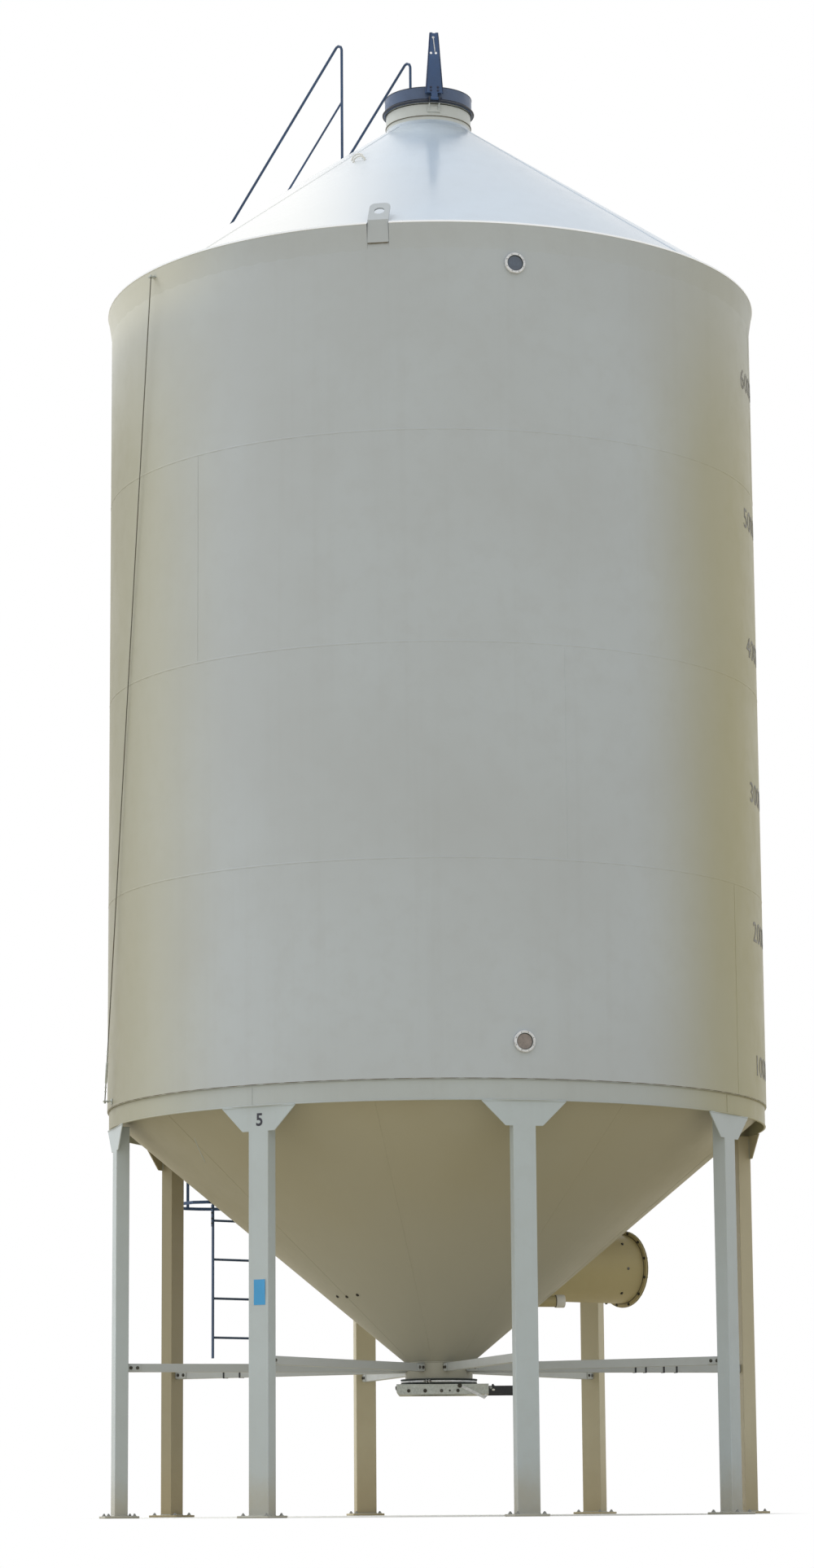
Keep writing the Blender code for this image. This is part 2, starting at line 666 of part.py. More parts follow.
def build_lid(mat, lever_mat, bracket_mat):
    bm = bmesh.new()
    skirt_in = LID_SKIRT_R - LID_T
    disc_z = LID_TOP - LID_T
    profile = [(0.30, LID_TOP), (LID_SKIRT_R - 0.004, LID_TOP), (LID_SKIRT_R, LID_TOP - 0.004),
               (LID_SKIRT_R, LID_BASE + 0.022), (LID_RIM_R, LID_BASE + 0.014),
               (LID_RIM_R, LID_BASE), (skirt_in, LID_BASE), (skirt_in, disc_z), (0.30, disc_z)]
    disc_lathe(bm, profile, ROUND_SEGMENTS)
    lid = piece("lid", bm, mat, HINGE_AZ, 30.0)
    hinge_frame(lid)

    bm = bmesh.new()
    near = -(LID_RIM_R + GAP)
    barrel_half = 0.030
    tube(bm, [(-barrel_half, -HINGE_R, HINGE_Z), (barrel_half, -HINGE_R, HINGE_Z)], BARREL_R, 16, 0.5)
    lever = piece("lid_lever", bm, lever_mat, HINGE_AZ, 30.0)
    bm = bmesh.new()
    face = -(HINGE_R + 0.002)
    channel(bm, face)
    tongue = helper("join_lever_blade", bm, HINGE_AZ)
    bm = bmesh.new()
    box(bm, (-0.055, face + LEVER_T / 2.0, LEVER_BASE_Z + 0.008),
        (0.055, -(LID_SKIRT_R + GAP), LID_TOP - 0.012))
    seat = helper("join_lever_seat", bm, HINGE_AZ)
    bm = bmesh.new()
    box(bm, (-0.024, face, HINGE_Z), (0.024, face + 0.010, LEVER_BASE_Z + 0.01))
    neck = helper("join_lever_neck", bm, HINGE_AZ)
    bm = bmesh.new()
    tube(bm, [(-0.1, -HINGE_R, HINGE_Z), (0.1, -HINGE_R, HINGE_Z)], PIN_R + RUN_GAP, 16, 0.5)
    bore = helper("cut_lever_bore", bm, HINGE_AZ)
    bm = bmesh.new()
    for x, drop in ((-0.024, 0.166), (0.014, 0.166), (-0.006, 0.040)):
        tube(bm, [(x, face - 0.02, LEVER_TOP_Z - drop), (x, face + LEVER_DEPTH / 2.0, LEVER_TOP_Z - drop)],
             LEVER_HOLE_R, 12, 0.5)
    box(bm, (-0.011, face - 0.02, LEVER_TOP_Z - LEVER_SLOT_H), (0.011, face + 0.1, LEVER_TOP_Z + 0.02))
    holes = helper("cut_lever_holes", bm, HINGE_AZ)
    boolean(lever, tongue, 'UNION')
    boolean(lever, seat, 'UNION')
    boolean(lever, neck, 'UNION')
    boolean(lever, bore, 'DIFFERENCE')
    boolean(lever, holes, 'DIFFERENCE')
    for obj in (lever, tongue, seat, neck, bore, holes):
        hinge_frame(obj)

    bm = bmesh.new()
    tube(bm, [(-0.050, -HINGE_R, HINGE_Z), (0.050, -HINGE_R, HINGE_Z)], PIN_R, 16, 0.5)
    bracket = piece("lid_hinge_bracket", bm, bracket_mat, HINGE_AZ, 30.0)
    bm = bmesh.new()
    for side in (-1, 1):
        low_x = min(side * 0.034, side * 0.042)
        high_x = max(side * 0.034, side * 0.042)
        outline = [(-HINGE_R - 0.014, HINGE_Z - 0.014), (-HINGE_R - 0.014, HINGE_Z + 0.014),
                   (-HINGE_R + 0.012, HINGE_Z + 0.014), (-HINGE_R + 0.014, HINGE_Z - 0.028),
                   (-COLLAR_R - 0.004, HINGE_Z - 0.060), (-COLLAR_R - 0.004, HINGE_Z - 0.088)]
        first = [bm.verts.new((low_x, y, z)) for y, z in outline]
        second = [bm.verts.new((high_x, y, z)) for y, z in outline]
        bm.faces.new(first)
        bm.faces.new(second)
        for i in range(len(outline)):
            j = (i + 1) % len(outline)
            bm.faces.new((first[i], first[j], second[j], second[i]))
    cheeks = helper("join_bracket_cheeks", bm, HINGE_AZ)
    bm = bmesh.new()
    box(bm, (-0.050, -COLLAR_R - 0.010, HINGE_Z - 0.094), (0.050, -COLLAR_R - 0.0001, HINGE_Z - 0.050))
    plate = helper("join_bracket_plate", bm, HINGE_AZ)
    boolean(bracket, cheeks, 'UNION')
    boolean(bracket, plate, 'UNION')
    for obj in (bracket, cheeks, plate):
        hinge_frame(obj)


# Ladder
def rung_heights():
    z = FIRST_RUNG_Z
    while z < LADDER_TOP - 0.05:
        yield z
        z += RUNG_STEP


def build_ladder(mat):
    half_d = RAIL_DEPTH / 2.0
    for name, low, high in (("ladder_lower", LADDER_BASE, LADDER_SPLIT),
                            ("ladder_upper", LADDER_SPLIT + GAP, LADDER_TOP)):
        bm = bmesh.new()
        for side in (-1, 1):
            mid = side * RAIL_HALF
            box(bm, (mid - RAIL_W / 2.0, -LADDER_R - half_d, low),
                (mid + RAIL_W / 2.0, -LADDER_R + half_d, high))
        ladder = piece(name, bm, mat, LADDER_AZ)
        bm = bmesh.new()
        for z in rung_heights():
            if low + 0.02 < z < high - 0.02:
                tube(bm, [(-RAIL_HALF, -LADDER_R, z), (RAIL_HALF, -LADDER_R, z)], RUNG_R, 8, 0.5)
        boolean(ladder, helper("join_rungs_" + name, bm, LADDER_AZ), 'UNION')


def build_ties(mat):
    """Flat straps bent to a U behind the rails, with both ends on the wall's facets."""
    back = -(LADDER_R - RAIL_DEPTH / 2.0 - GAP)
    outer = RAIL_HALF + RAIL_W / 2.0
    inner = outer - TIE_T
    for i in range(TIE_COUNT):
        z = TIE_FIRST_Z + i * (TIE_LAST_Z - TIE_FIRST_Z) / (TIE_COUNT - 1)
        outline = []
        for x in (-outer, outer):
            foot = (x, -(wall_reach(x, LADDER_AZ) + GAP))
            outline += [foot, (x, back)] if x < 0 else [(x, back), foot]
        for x in (inner, -inner):
            foot = (x, -(wall_reach(x, LADDER_AZ) + GAP))
            outline += [foot, (x, back + TIE_T)] if x > 0 else [(x, back + TIE_T), foot]
        bm = bmesh.new()
        low = [bm.verts.new((x, y, z - TIE_H / 2.0)) for x, y in outline]
        high = [bm.verts.new((x, y, z + TIE_H / 2.0)) for x, y in outline]
        bm.faces.new(low)
        bm.faces.new(high)
        for k in range(len(outline)):
            n = (k + 1) % len(outline)
            bm.faces.new((low[k], low[n], high[n], high[k]))
        piece("ladder_tie_%d" % (i + 1), bm, mat, LADDER_AZ)


def cage_path():
    """Half-plan of one hoop in local (x, y), from rail to rail round the outside."""
    start_y = -LADDER_R - RAIL_DEPTH / 2.0 - GAP - HOOP_T / 2.0
    straight = CAGE_DEPTH - CAGE_HALF
    foot_in = RAIL_HALF - RAIL_W / 2.0
    foot_out = RAIL_HALF + 0.030
    path = [(-foot_in, start_y), (-foot_out, start_y), (-CAGE_HALF, start_y - 0.10)]
    for i in range(0, 13):
        a = math.pi * i / 12.0
        path.append((-CAGE_HALF * math.cos(a), start_y - straight - CAGE_HALF * math.sin(a)))
    path += [(CAGE_HALF, start_y - 0.10), (foot_out, start_y), (foot_in, start_y)]
    return path, start_y - straight


def build_cage(mat):
    path, arc_y = cage_path()
    pitch = (CAGE_TOP - CAGE_BASE - HOOP_H) / (CAGE_HOOPS - 1)
    bm = bmesh.new()
    for i in range(CAGE_HOOPS):
        low = CAGE_BASE + i * pitch
        band(bm, path, HOOP_T / 2.0, low, low + HOOP_H)
    cage = piece("ladder_cage", bm, mat, LADDER_AZ)
    bm = bmesh.new()
    for angle in (0.0, 45.0, 90.0, 135.0, 180.0):
        a = math.radians(angle)
        reach = CAGE_HALF - HOOP_T / 2.0 + 0.001
        centre = Vector((-reach * math.cos(a), arc_y - reach * math.sin(a), 0.0))
        if angle in (0.0, 180.0):
            centre.y = arc_y + 0.10
        inward = Vector((math.cos(a), math.sin(a), 0.0))
        along = Vector((-math.sin(a), math.cos(a), 0.0))
        corners = []
        for depth, side in ((0.0, -1), (0.0, 1), (HOOP_T, 1), (HOOP_T, -1)):
            corners.append(centre + inward * depth + along * (side * STRAP_W / 2.0))
        bottom = [bm.verts.new((c.x, c.y, CAGE_BASE + 0.004)) for c in corners]
        top = [bm.verts.new((c.x, c.y, CAGE_TOP - 0.004)) for c in corners]
        bm.faces.new(bottom)
        bm.faces.new(top)
        for i in range(4):
            j = (i + 1) % 4
            bm.faces.new((bottom[i], bottom[j], top[j], top[i]))
    boolean(cage, helper("join_cage_straps", bm, LADDER_AZ), 'UNION')


def seat_on_roof(ring, lift):
    """Drop the end ring of a post onto the roof."""
    for vert in ring:
        vert.co.z = roof_z(math.hypot(vert.co.x, vert.co.y)) + lift


def rounded(corners, radius, steps):
    """Round the inner corners of a path."""
    out = [Vector(corners[0])]
    for a, b, c in zip(corners, corners[1:], corners[2:]):
        a = Vector(a)
        b = Vector(b)
        c = Vector(c)
        back = (a - b).normalized()
        ahead = (c - b).normalized()
        half = back.angle(ahead) / 2.0
        cut = radius / math.tan(half)
        start = b + back * cut
        end = b + ahead * cut
        centre = b + (back + ahead).normalized() * (radius / math.sin(half))
        for i in range(steps + 1):
            t = i / steps
            chord = start.lerp(end, t) - centre
            out.append(centre + chord.normalized() * radius)
    out.append(Vector(corners[-1]))
    return out


def build_railings(mat):
    for tag, side in (("left", -1), ("right", 1)):
        x = side * RAILING_HALF
        lift = 0.0005
        def over(r, height):
            return (x, -r, roof_z(math.hypot(r, x)) + height)
        plane_in = roof_z(RAILING_IN) + RAILING_TOP_OFFSET
        plane_out = roof_z(RAILING_OUT) + RAILING_TOP_OFFSET - RAILING_FALL
        corners = [over(RAILING_IN, lift), (x, -RAILING_IN, plane_in), (x, -RAILING_OUT, plane_out),
                   over(RAILING_OUT, lift)]
        bm = bmesh.new()
        rings = tube(bm, rounded(corners, 0.050, 5), RAILING_R, 10, 0.5)
        seat_on_roof(rings[0], lift)
        seat_on_roof(rings[-1], lift)
        railing = piece("handrail_" + tag, bm, mat, LADDER_AZ, 35.0)
        bm = bmesh.new()
        drop = RAILING_TOP_OFFSET - RAILING_MID_OFFSET
        tube(bm, [(x, -RAILING_IN, plane_in - drop), (x, -RAILING_OUT, plane_out - drop)],
             RAILING_R * 0.8, 8, 0.5)
        boolean(railing, helper("join_midrail_" + tag, bm, LADDER_AZ), 'UNION')


def build_roof_ladder(mat):
    """Rungs up the roof between two flat rails on short feet."""
    slope = math.radians(ROOF_SLOPE)
    low_r = ROOF_LADDER_OUT
    high_r = ROOF_LADDER_IN
    length = (low_r - high_r) / math.cos(slope)
    lift = 0.060
    rail_h = 0.040
    tilt = Matrix.Translation((0.0, -low_r, roof_z(low_r))) @ Matrix.Rotation(slope, 4, 'X')
    bm = bmesh.new()
    for side in (-1, 1):
        mid = side * RAIL_HALF
        box(bm, (mid - RAIL_W / 2.0, 0.0, lift), (mid + RAIL_W / 2.0, length, lift + rail_h))
    bmesh.ops.transform(bm, matrix=tilt, verts=bm.verts)
    ladder = piece("roof_ladder", bm, mat, LADDER_AZ)
    bm = bmesh.new()
    count = int(length / RUNG_STEP)
    for i in range(count):
        y = (i + 0.5) * length / count
        z = lift + rail_h / 2.0
        tube(bm, [(-RAIL_HALF, y, z), (RAIL_HALF, y, z)], RUNG_R, 8, 0.5)
    bmesh.ops.transform(bm, matrix=tilt, verts=bm.verts)
    boolean(ladder, helper("join_roof_rungs", bm, LADDER_AZ), 'UNION')
    bm = bmesh.new()
    for y in (0.10, length / 2.0, length - 0.10):
        for side in (-1, 1):
            mid = side * RAIL_HALF
            box(bm, (mid - 0.004, y - 0.02, 0.0), (mid + 0.004, y + 0.02, lift + 0.01))
    soles = [vert for vert in bm.verts if vert.co.z == 0.0]
    bmesh.ops.transform(bm, matrix=tilt, verts=bm.verts)
    seat_on_roof(soles, GAP)
    feet = helper("join_roof_feet", bm, LADDER_AZ)
    boolean(ladder, feet, 'UNION')


# Wall fittings
def build_ports(mat, glass_mat):
    turn = Matrix.Rotation(math.radians(90), 4, 'X')
    for tag, z in zip(("upper", "lower"), PORT_HEIGHTS):
        seat = BODY_R + GAP
        bm = bmesh.new()
        lathe(bm, [(PORT_R, seat), (PORT_R, seat + PORT_DEPTH - 0.004),
                   (PORT_R - 0.004, seat + PORT_DEPTH), (PORT_GLASS_R, seat + PORT_DEPTH),
                   (PORT_GLASS_R, seat)], 40)
        bmesh.ops.transform(bm, matrix=Matrix.Translation((0, 0, z)) @ turn, verts=bm.verts)
        piece("sight_port_" + tag, bm, mat, PORT_AZ, 30.0)
        bm = bmesh.new()
        disc_lathe(bm, [(PORT_GLASS_R - GAP, seat + 0.002), (PORT_GLASS_R - GAP, seat + 0.010)], 40)
        bmesh.ops.transform(bm, matrix=Matrix.Translation((0, 0, z)) @ turn, verts=bm.verts)
        piece("sight_glass_" + tag, bm, glass_mat, PORT_AZ, 30.0)


def build_lugs(mat):
    """Lifting plates on the wall that pass the eave and then lean back over the roof."""
    lean = math.radians(LUG_LEAN)
    half = LUG_W / 2.0
    near = -(BODY_R + GAP)
    top = LUG_REACH
    upper = [(-half, 0.0), (half, 0.0)]
    for cx, first in ((half - LUG_CORNER_R, 0.0), (-half + LUG_CORNER_R, 90.0)):
        for i in range(7):
            a = math.radians(first + 15.0 * i)
            upper.append((cx + LUG_CORNER_R * math.cos(a),
                          top - LUG_CORNER_R + LUG_CORNER_R * math.sin(a)))

    def place(x, along, out):
        if along <= 0.0:
            return (x, near - out, LUG_BEND_Z + out * math.tan(lean / 2.0))
        return (x, near + along * math.sin(lean) - out * math.cos(lean),
                LUG_BEND_Z + along * math.cos(lean) + out * math.sin(lean))

    for tag, azimuth in (("front", LUG_AZ), ("rear", LUG_AZ + 180.0)):
        bm = bmesh.new()
        skins = []
        for out in (0.0, LUG_T):
            leaning = [bm.verts.new(place(x, along, out)) for x, along in upper]
            foot = [bm.verts.new((x, near - out, LUG_BASE)) for x in (-half, half)]
            bm.faces.new(leaning)
            bm.faces.new([foot[0], foot[1], leaning[1], leaning[0]])
            skins.append(foot + leaning[1:] + leaning[:1])
        count = len(skins[0])
        for i in range(count):
            j = (i + 1) % count
            bm.faces.new((skins[0][i], skins[0][j], skins[1][j], skins[1][i]))
        lug = piece("lifting_lug_" + tag, bm, mat, azimuth)
        bm = bmesh.new()
        disc_lathe(bm, [(LUG_HOLE_R, -0.1), (LUG_HOLE_R, 0.1)], 24)
        centre = place(0.0, top - LUG_HOLE_DROP, LUG_T / 2.0)
        turn = Matrix.Translation(centre) @ Matrix.Rotation(math.radians(90.0) - lean, 4, 'X')
        bmesh.ops.transform(bm, matrix=turn, verts=bm.verts)
        boolean(lug, helper("cut_lug_hole_" + tag, bm, azimuth), 'DIFFERENCE')


def polar(r, azimuth, z):
    a = math.radians(azimuth)
    return Vector((r * math.sin(a), -r * math.cos(a), z))


def build_cable(mat, bracket_mat):
    """Taut pull cable down the wall between a guide at the eave and a cleat at the foot."""
    reach = BODY_R + CABLE_STAND
    top = polar(reach, CABLE_TOP_AZ, CABLE_TOP_Z)
    foot = polar(reach, CABLE_FOOT_AZ, CABLE_FOOT_Z)
    bm = bmesh.new()
    tube(bm, [foot, top], CABLE_R, 8)
    piece("opener_cable", bm, mat, 0.0, 35.0)
    for name, azimuth, z, above in (("cable_guide", CABLE_TOP_AZ, CABLE_TOP_Z, 1),
                                    ("cable_cleat", CABLE_FOOT_AZ, CABLE_FOOT_Z, -1)):
        bm = bmesh.new()
        near = -(BODY_R + GAP)
        far = -(reach + 0.012)
        start = z + above * (CABLE_R * 0.15 + GAP)
        stop = start + above * 0.008
        low = min(start, stop)
        high = max(start, stop)
        box(bm, (-0.020, far, low), (0.020, near, high))
        piece(name, bm, bracket_mat, azimuth)


def main():
    scene_cleared()
    wall = principled("wall_paint", CREAM, 0.38)
    roof = principled("roof_paint", ROOF_WHITE, 0.35)
    dark = principled("dark_steel", DARK_STEEL, 0.45)
    lid = principled("lid_enamel", LID_GREY, 0.40)
    zinc = principled("galvanised", GALVANISED, 0.42, 0.6)
    black = principled("black_rubber", BLACK, 0.60)
    glass = principled("port_glass", GLASS_BLUE, 0.08)
    cable = principled("cable_wire", CABLE_GREY, 0.45, 0.5)
    build_wall(wall)
    build_base_ring(wall)
    build_roof(roof, wall)
    build_hopper(wall)
    build_duct(wall, wall)
    build_sample_port(wall)
    build_outlet(wall, black, zinc, black)
    build_legs(wall)
    build_lid(lid, dark, wall)
    build_ladder(dark)
    build_ties(dark)
    build_cage(dark)
    build_railings(dark)
    build_roof_ladder(dark)
    build_ports(zinc, glass)
    build_lugs(wall)
    build_cable(cable, zinc)
    for obj in bpy.data.objects:
        obj.location.y += AXIS_Y


main()
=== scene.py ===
import math
import random

import bmesh
import bpy
from mathutils import Matrix, Vector


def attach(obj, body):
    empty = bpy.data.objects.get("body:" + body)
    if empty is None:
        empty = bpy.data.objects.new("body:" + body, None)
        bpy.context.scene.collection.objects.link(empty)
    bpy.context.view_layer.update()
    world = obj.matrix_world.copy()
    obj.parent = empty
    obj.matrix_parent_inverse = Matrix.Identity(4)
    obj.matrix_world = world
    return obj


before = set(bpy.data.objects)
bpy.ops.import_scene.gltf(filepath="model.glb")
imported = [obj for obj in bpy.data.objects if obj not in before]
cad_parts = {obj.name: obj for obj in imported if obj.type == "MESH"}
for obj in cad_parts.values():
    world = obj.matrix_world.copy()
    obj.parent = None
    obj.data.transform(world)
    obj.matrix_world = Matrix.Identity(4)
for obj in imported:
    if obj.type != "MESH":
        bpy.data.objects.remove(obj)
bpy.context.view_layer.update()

SCENE = bpy.context.scene
RNG = random.Random(11)

# Sizes that repeat those of the CAD model, in metres, and azimuths in degrees from the front
AXIS_Y = -0.1528
BODY_R = 2.4384
WALL_FACE = BODY_R + 0.0003
WALL_BASE = 2.946
COURSE_H = 1.524
WALL_TOP = 9.042
RING_R = 2.4255
RING_BASE = 2.796
ROOF_SLOPE = math.radians(35.0)
ROOF_Z = WALL_TOP + 0.0003 + 0.005 / math.cos(ROOF_SLOPE)
HOPPER_APEX = 0.9
HOPPER_TAN = 0.83
COLLAR_R = 0.3275
COLLAR_TOP = 10.69997
LEG_AZ = [14.1 + 45.0 * i for i in range(8)]
LEG_FACE_R = 2.416
LEG_DEPTH = 0.096
STRUT_Z = 1.065
LUG_AZ = (-8.8, 171.2)
PORT_AZ = 14.1
PORT_Z = (WALL_TOP - 0.301, WALL_BASE + 0.252)
LADDER_AZ = 216.6
LADDER_R = 2.646
LADDER_TOP = 10.1
RAIL_X = 0.23
RUNG_STEP = 0.3048
RUNG_LOW = 1.382
TIE_LOW, TIE_HIGH = 3.36, 8.812
HOOP_LOW, HOOP_PITCH = 2.4425, (10.08 - 2.43 - 0.025) / 6
CAGE_R = 0.34
DUCT_AZ = 126.5
DUCT_Z = 1.836
DUCT_R = 0.26
DUCT_END = 1.762
COVER_T = 0.0103
SAMPLE_AZ = 102.0
SAMPLE_Z = 1.556
SAMPLE_END = 0.889
GATE_Y = 0.27
RAIL_Y = 0.2546
HINGE_AZ = 7.2
HINGE_R = 0.378
CABLE_TOP = (-55.5, WALL_TOP - 0.082)
CABLE_FOOT = (-75.9, WALL_BASE + 0.044)
CABLE_R = BODY_R + 0.052
LEVEL_AZ = 77.6

UP = Vector((0.0, 0.0, 1.0))
RIGHT = Vector((1.0, 0.0, 0.0))
FRONT = Vector((0.0, -1.0, 0.0))


def radial(azimuth):
    a = math.radians(azimuth)
    return Vector((math.sin(a), -math.cos(a), 0.0))


def tangent(azimuth):
    return radial(azimuth + 90.0)


def at(azimuth, r, z, side=0.0):
    """A point at a distance from the bin's axis, shifted sideways along the tangent."""
    return radial(azimuth) * r + tangent(azimuth) * side + Vector((0.0, AXIS_Y, z))


def roof_z(r):
    return ROOF_Z + (BODY_R - r) * math.tan(ROOF_SLOPE)


def hopper_z(r):
    return HOPPER_APEX + HOPPER_TAN * r


def rgb(*display):
    """Linear colour from 0-255 display values."""
    shares = [v / 255.0 for v in display]
    return (*(v / 12.92 if v <= 0.04045 else ((v + 0.055) / 1.055) ** 2.4 for v in shares), 1.0)


# Materials
def add_node(tree, kind, sockets=None, **settings):
    """New shader node; each socket, by name or number, gets a link or a value."""
    node = tree.nodes.new("ShaderNode" + kind)
    for name, value in settings.items():
        setattr(node, name, value)
    for key, value in (sockets or {}).items():
        if isinstance(value, bpy.types.NodeSocket):
            tree.links.new(value, node.inputs[key])
        else:
            node.inputs[key].default_value = value
    return node


class Shader:
    """A principled material with a few shorthand node builders."""

    def __init__(self, name, roughness, metallic=0.0):
        self.mat = bpy.data.materials.new(name)
        self.mat.use_nodes = True
        self.tree = self.mat.node_tree
        self.bsdf = self.tree.nodes["Principled BSDF"]
        self.preset({"Metallic": metallic, "Roughness": roughness})
        self.coord = self.add("TexCoord").outputs["Object"]

    def preset(self, values):
        for name, value in values.items():
            self.bsdf.inputs[name].default_value = value

    def add(self, kind, sockets=None, **settings):
        return add_node(self.tree, kind, sockets, **settings)

    def noise(self, scale, detail, rough, stretch=None):
        where = self.coord
        if stretch:
            where = self.add("Mapping", {"Scale": stretch, "Vector": where}).outputs["Vector"]
        return self.add("TexNoise", {"Vector": where, "Scale": scale, "Detail": detail,
                                     "Roughness": rough}).outputs[0]

    def math(self, operation, a, b=0.0):
        return self.add("Math", {0: a, 1: b}, operation=operation).outputs[0]

    def times(self, *factors):
        total = factors[0]
        for factor in factors[1:]:
            total = self.math('MULTIPLY', total, factor)
        return total

    def span(self, value, low, high, out_low=0.0, out_high=1.0):
        """Smooth step from out_low to out_high between two values."""
        return self.add("MapRange", {0: value, 1: low, 2: high, 3: out_low, 4: out_high},
                        interpolation_type='SMOOTHSTEP').outputs[0]

    def mix(self, factor, a, b):
        return self.add("Mix", {0: factor, 6: a, 7: b}, data_type='RGBA').outputs[2]

    def split(self, vector):
        return self.add("SeparateXYZ", {0: vector}).outputs

    def bump(self, height, strength, distance, below=None):
        sockets = {"Strength": strength, "Distance": distance, "Height": height}
        if below is not None:
            sockets["Normal"] = below
        return self.add("Bump", sockets).outputs["Normal"]

    def finish(self, colour, roughness, bump):
        for name, value in (("Base Color", colour), ("Roughness", roughness), ("Normal", bump)):
            self.tree.links.new(value, self.bsdf.inputs[name])
        return self.mat


def tone(colour, factor, warm=0.0):
    """The colour made lighter or darker, and warmer by a share."""
    return (min(1.0, colour[0] * factor * (1.0 + warm)), min(1.0, colour[1] * factor),
            min(1.0, colour[2] * factor * (1.0 - warm)), 1.0)


CREAM = rgb(187, 194, 200)
# Olive painted reflection and shade on both sides of the wall
PAINTED_SIDE_REFLECTION = rgb(168, 163, 128)
# Warm painted shade tone of the hopper
SHADE = rgb(169, 164, 142)
MUD = rgb(168, 154, 120)
# Painted highlight at the wall's top left
PAINTED_TOP_LEFT_HIGHLIGHT = rgb(222, 221, 205)
# Painted light on the left half of the roof's front
PAINTED_SUNLIT_ROOF = rgb(230, 231, 230)
# Painted shade along the wall's left rim
PAINTED_RIM_SHADE = rgb(126, 122, 98)
CONE_FOOT = rgb(174, 174, 164)


def side_painted_light(s, xyz, tint):
    """Painted light on both sides of the wall: an olive painted reflection of the ground with painted shade
    that fades towards the eave and the back, painted shade along the left rim and a painted highlight at the
    top left.
    """
    amount = s.times(s.span(s.math('ABSOLUTE', xyz[0]), 1.35, 2.3),
                     s.span(xyz[0], -2.0, 2.0, 0.66, 1.0),
                     s.span(xyz[2], 7.3, 9.3, 1.0, 0.32),
                     s.span(xyz[1], -0.3, 1.6, 1.0, 0.35),
                     s.span(s.noise(0.9, 3.0, 0.55, (1.0, 1.0, 0.35)), 0.25, 0.75, 0.84, 1.0))
    rim = s.times(s.span(xyz[0], -2.48, -1.95, 0.6, 0.0), s.span(xyz[2], 7.5, 9.0, 1.0, 0.0),
                  s.span(xyz[1], -0.5, 1.0, 1.0, 0.0))
    top_left_highlight = s.times(s.span(xyz[0], -2.1, -1.3, 1.0, 0.0), s.span(xyz[2], 8.5, 8.95, 0.0, 0.5))
    return s.mix(top_left_highlight, s.mix(rim, s.mix(amount, tint, PAINTED_SIDE_REFLECTION), PAINTED_RIM_SHADE), PAINTED_TOP_LEFT_HIGHLIGHT)


def roof_painted_light(s, xyz, tint):
    """Painted light: the left half of the roof's front is painted paler, as where the sun falls on it."""
    return s.mix(s.times(s.span(xyz[0], -1.1, 0.0, 1.0, 0.0), s.span(xyz[1], -0.2, 1.3, 1.0, 0.0)),
                 tint, PAINTED_SUNLIT_ROOF)


def cone_painted_light(s, xyz, tint):
    """Painted shade on the hopper: a warm shade tone in patches, paler at its foot and darker on the left."""
    tint = s.mix(s.span(s.noise(1.3, 3.0, 0.5), 0.25, 0.75, 0.55, 1.0), tint, SHADE)
    tint = s.mix(s.span(xyz[2], 1.3, 2.5, 0.85, 0.0), tint, CONE_FOOT)
    return s.mix(s.span(xyz[0], -2.3, -0.6, 0.45, 0.0), tint, tone(SHADE, 0.7))


def enamel(name, colour, rough, waves, dirt=0.1, streaks=0.1, painted_light=None, splash=None, gloss=0.5,
           metal=0.0):
    """Satin enamel on rolled sheet: slow tone shifts, rain streaks, orange peel and sheet waves."""
    s = Shader(name, rough, metal)
    s.preset({"Specular IOR Level": gloss})
    if gloss > 0.3:
        s.preset({"Coat Weight": 0.12, "Coat Roughness": 0.22})
    slow = s.noise(0.55, 3.0, 0.55)
    tint = s.mix(s.span(slow, 0.3, 0.7), tone(colour, 0.955, 0.01), tone(colour, 1.035, -0.006))
    fine = s.noise(7.0, 5.0, 0.6)
    tint = s.mix(s.span(fine, 0.42, 0.72, 0.0, 0.35), tint, tone(colour, 0.93, 0.015))
    rain = s.noise(1.0, 4.0, 0.62, (7.5, 7.5, 0.16))
    tint = s.mix(s.span(rain, 0.5, 0.8, 0.0, streaks), tint, tone(colour, 0.7, 0.06))
    xyz = s.split(s.coord)
    # Painted light and shade, where a function for it is given
    if painted_light:
        tint = painted_light(s, xyz, tint)
    if splash:
        rise = s.math('ADD', xyz[2], s.math('MULTIPLY', s.noise(5.0, 4.0, 0.6), 0.35))
        tint = s.mix(s.span(rise, splash[0], splash[1], 0.55, 0.0), tint, MUD)
    speck = s.noise(38.0, 3.0, 0.7)
    tint = s.mix(s.span(speck, 0.64, 0.78, 0.0, dirt), tint, tone(colour, 0.5, 0.1))
    sheen = s.math('ADD', s.span(slow, 0.25, 0.75, rough - 0.05, rough + 0.06),
                   s.span(fine, 0.35, 0.75, -0.02, 0.05))
    sheet = s.bump(s.noise(1.15, 2.0, 0.45), 0.55, waves)
    return s.finish(tint, sheen, s.bump(s.noise(210.0, 2.0, 0.5), 0.1, 0.0006, sheet))


def sprayed(s, tint, gloss):
    return s.finish(tint, gloss, s.bump(s.noise(160.0, 3.0, 0.6), 0.18, 0.0006))


def steel_paint(name, colour, rough=0.42, wear=(120, 116, 108), chips=0.3):
    """Sprayed coat on bar and tube: brushed-out tone, dust on upward faces and small chips."""
    s = Shader(name, rough)
    tint = s.mix(s.span(s.noise(2.2, 4.0, 0.6), 0.3, 0.72), tone(colour, 0.84), tone(colour, 1.22))
    upward = s.split(s.add("NewGeometry").outputs["Normal"])[2]
    tint = s.mix(s.span(upward, 0.35, 1.0, 0.0, 0.26), tint, rgb(150, 146, 134))
    tint = s.mix(s.span(s.noise(46.0, 4.0, 0.7), 0.7, 0.76, 0.0, chips), tint, rgb(*wear))
    return sprayed(s, tint, s.span(s.noise(18.0, 3.0, 0.6), 0.3, 0.7, rough - 0.07, rough + 0.1))


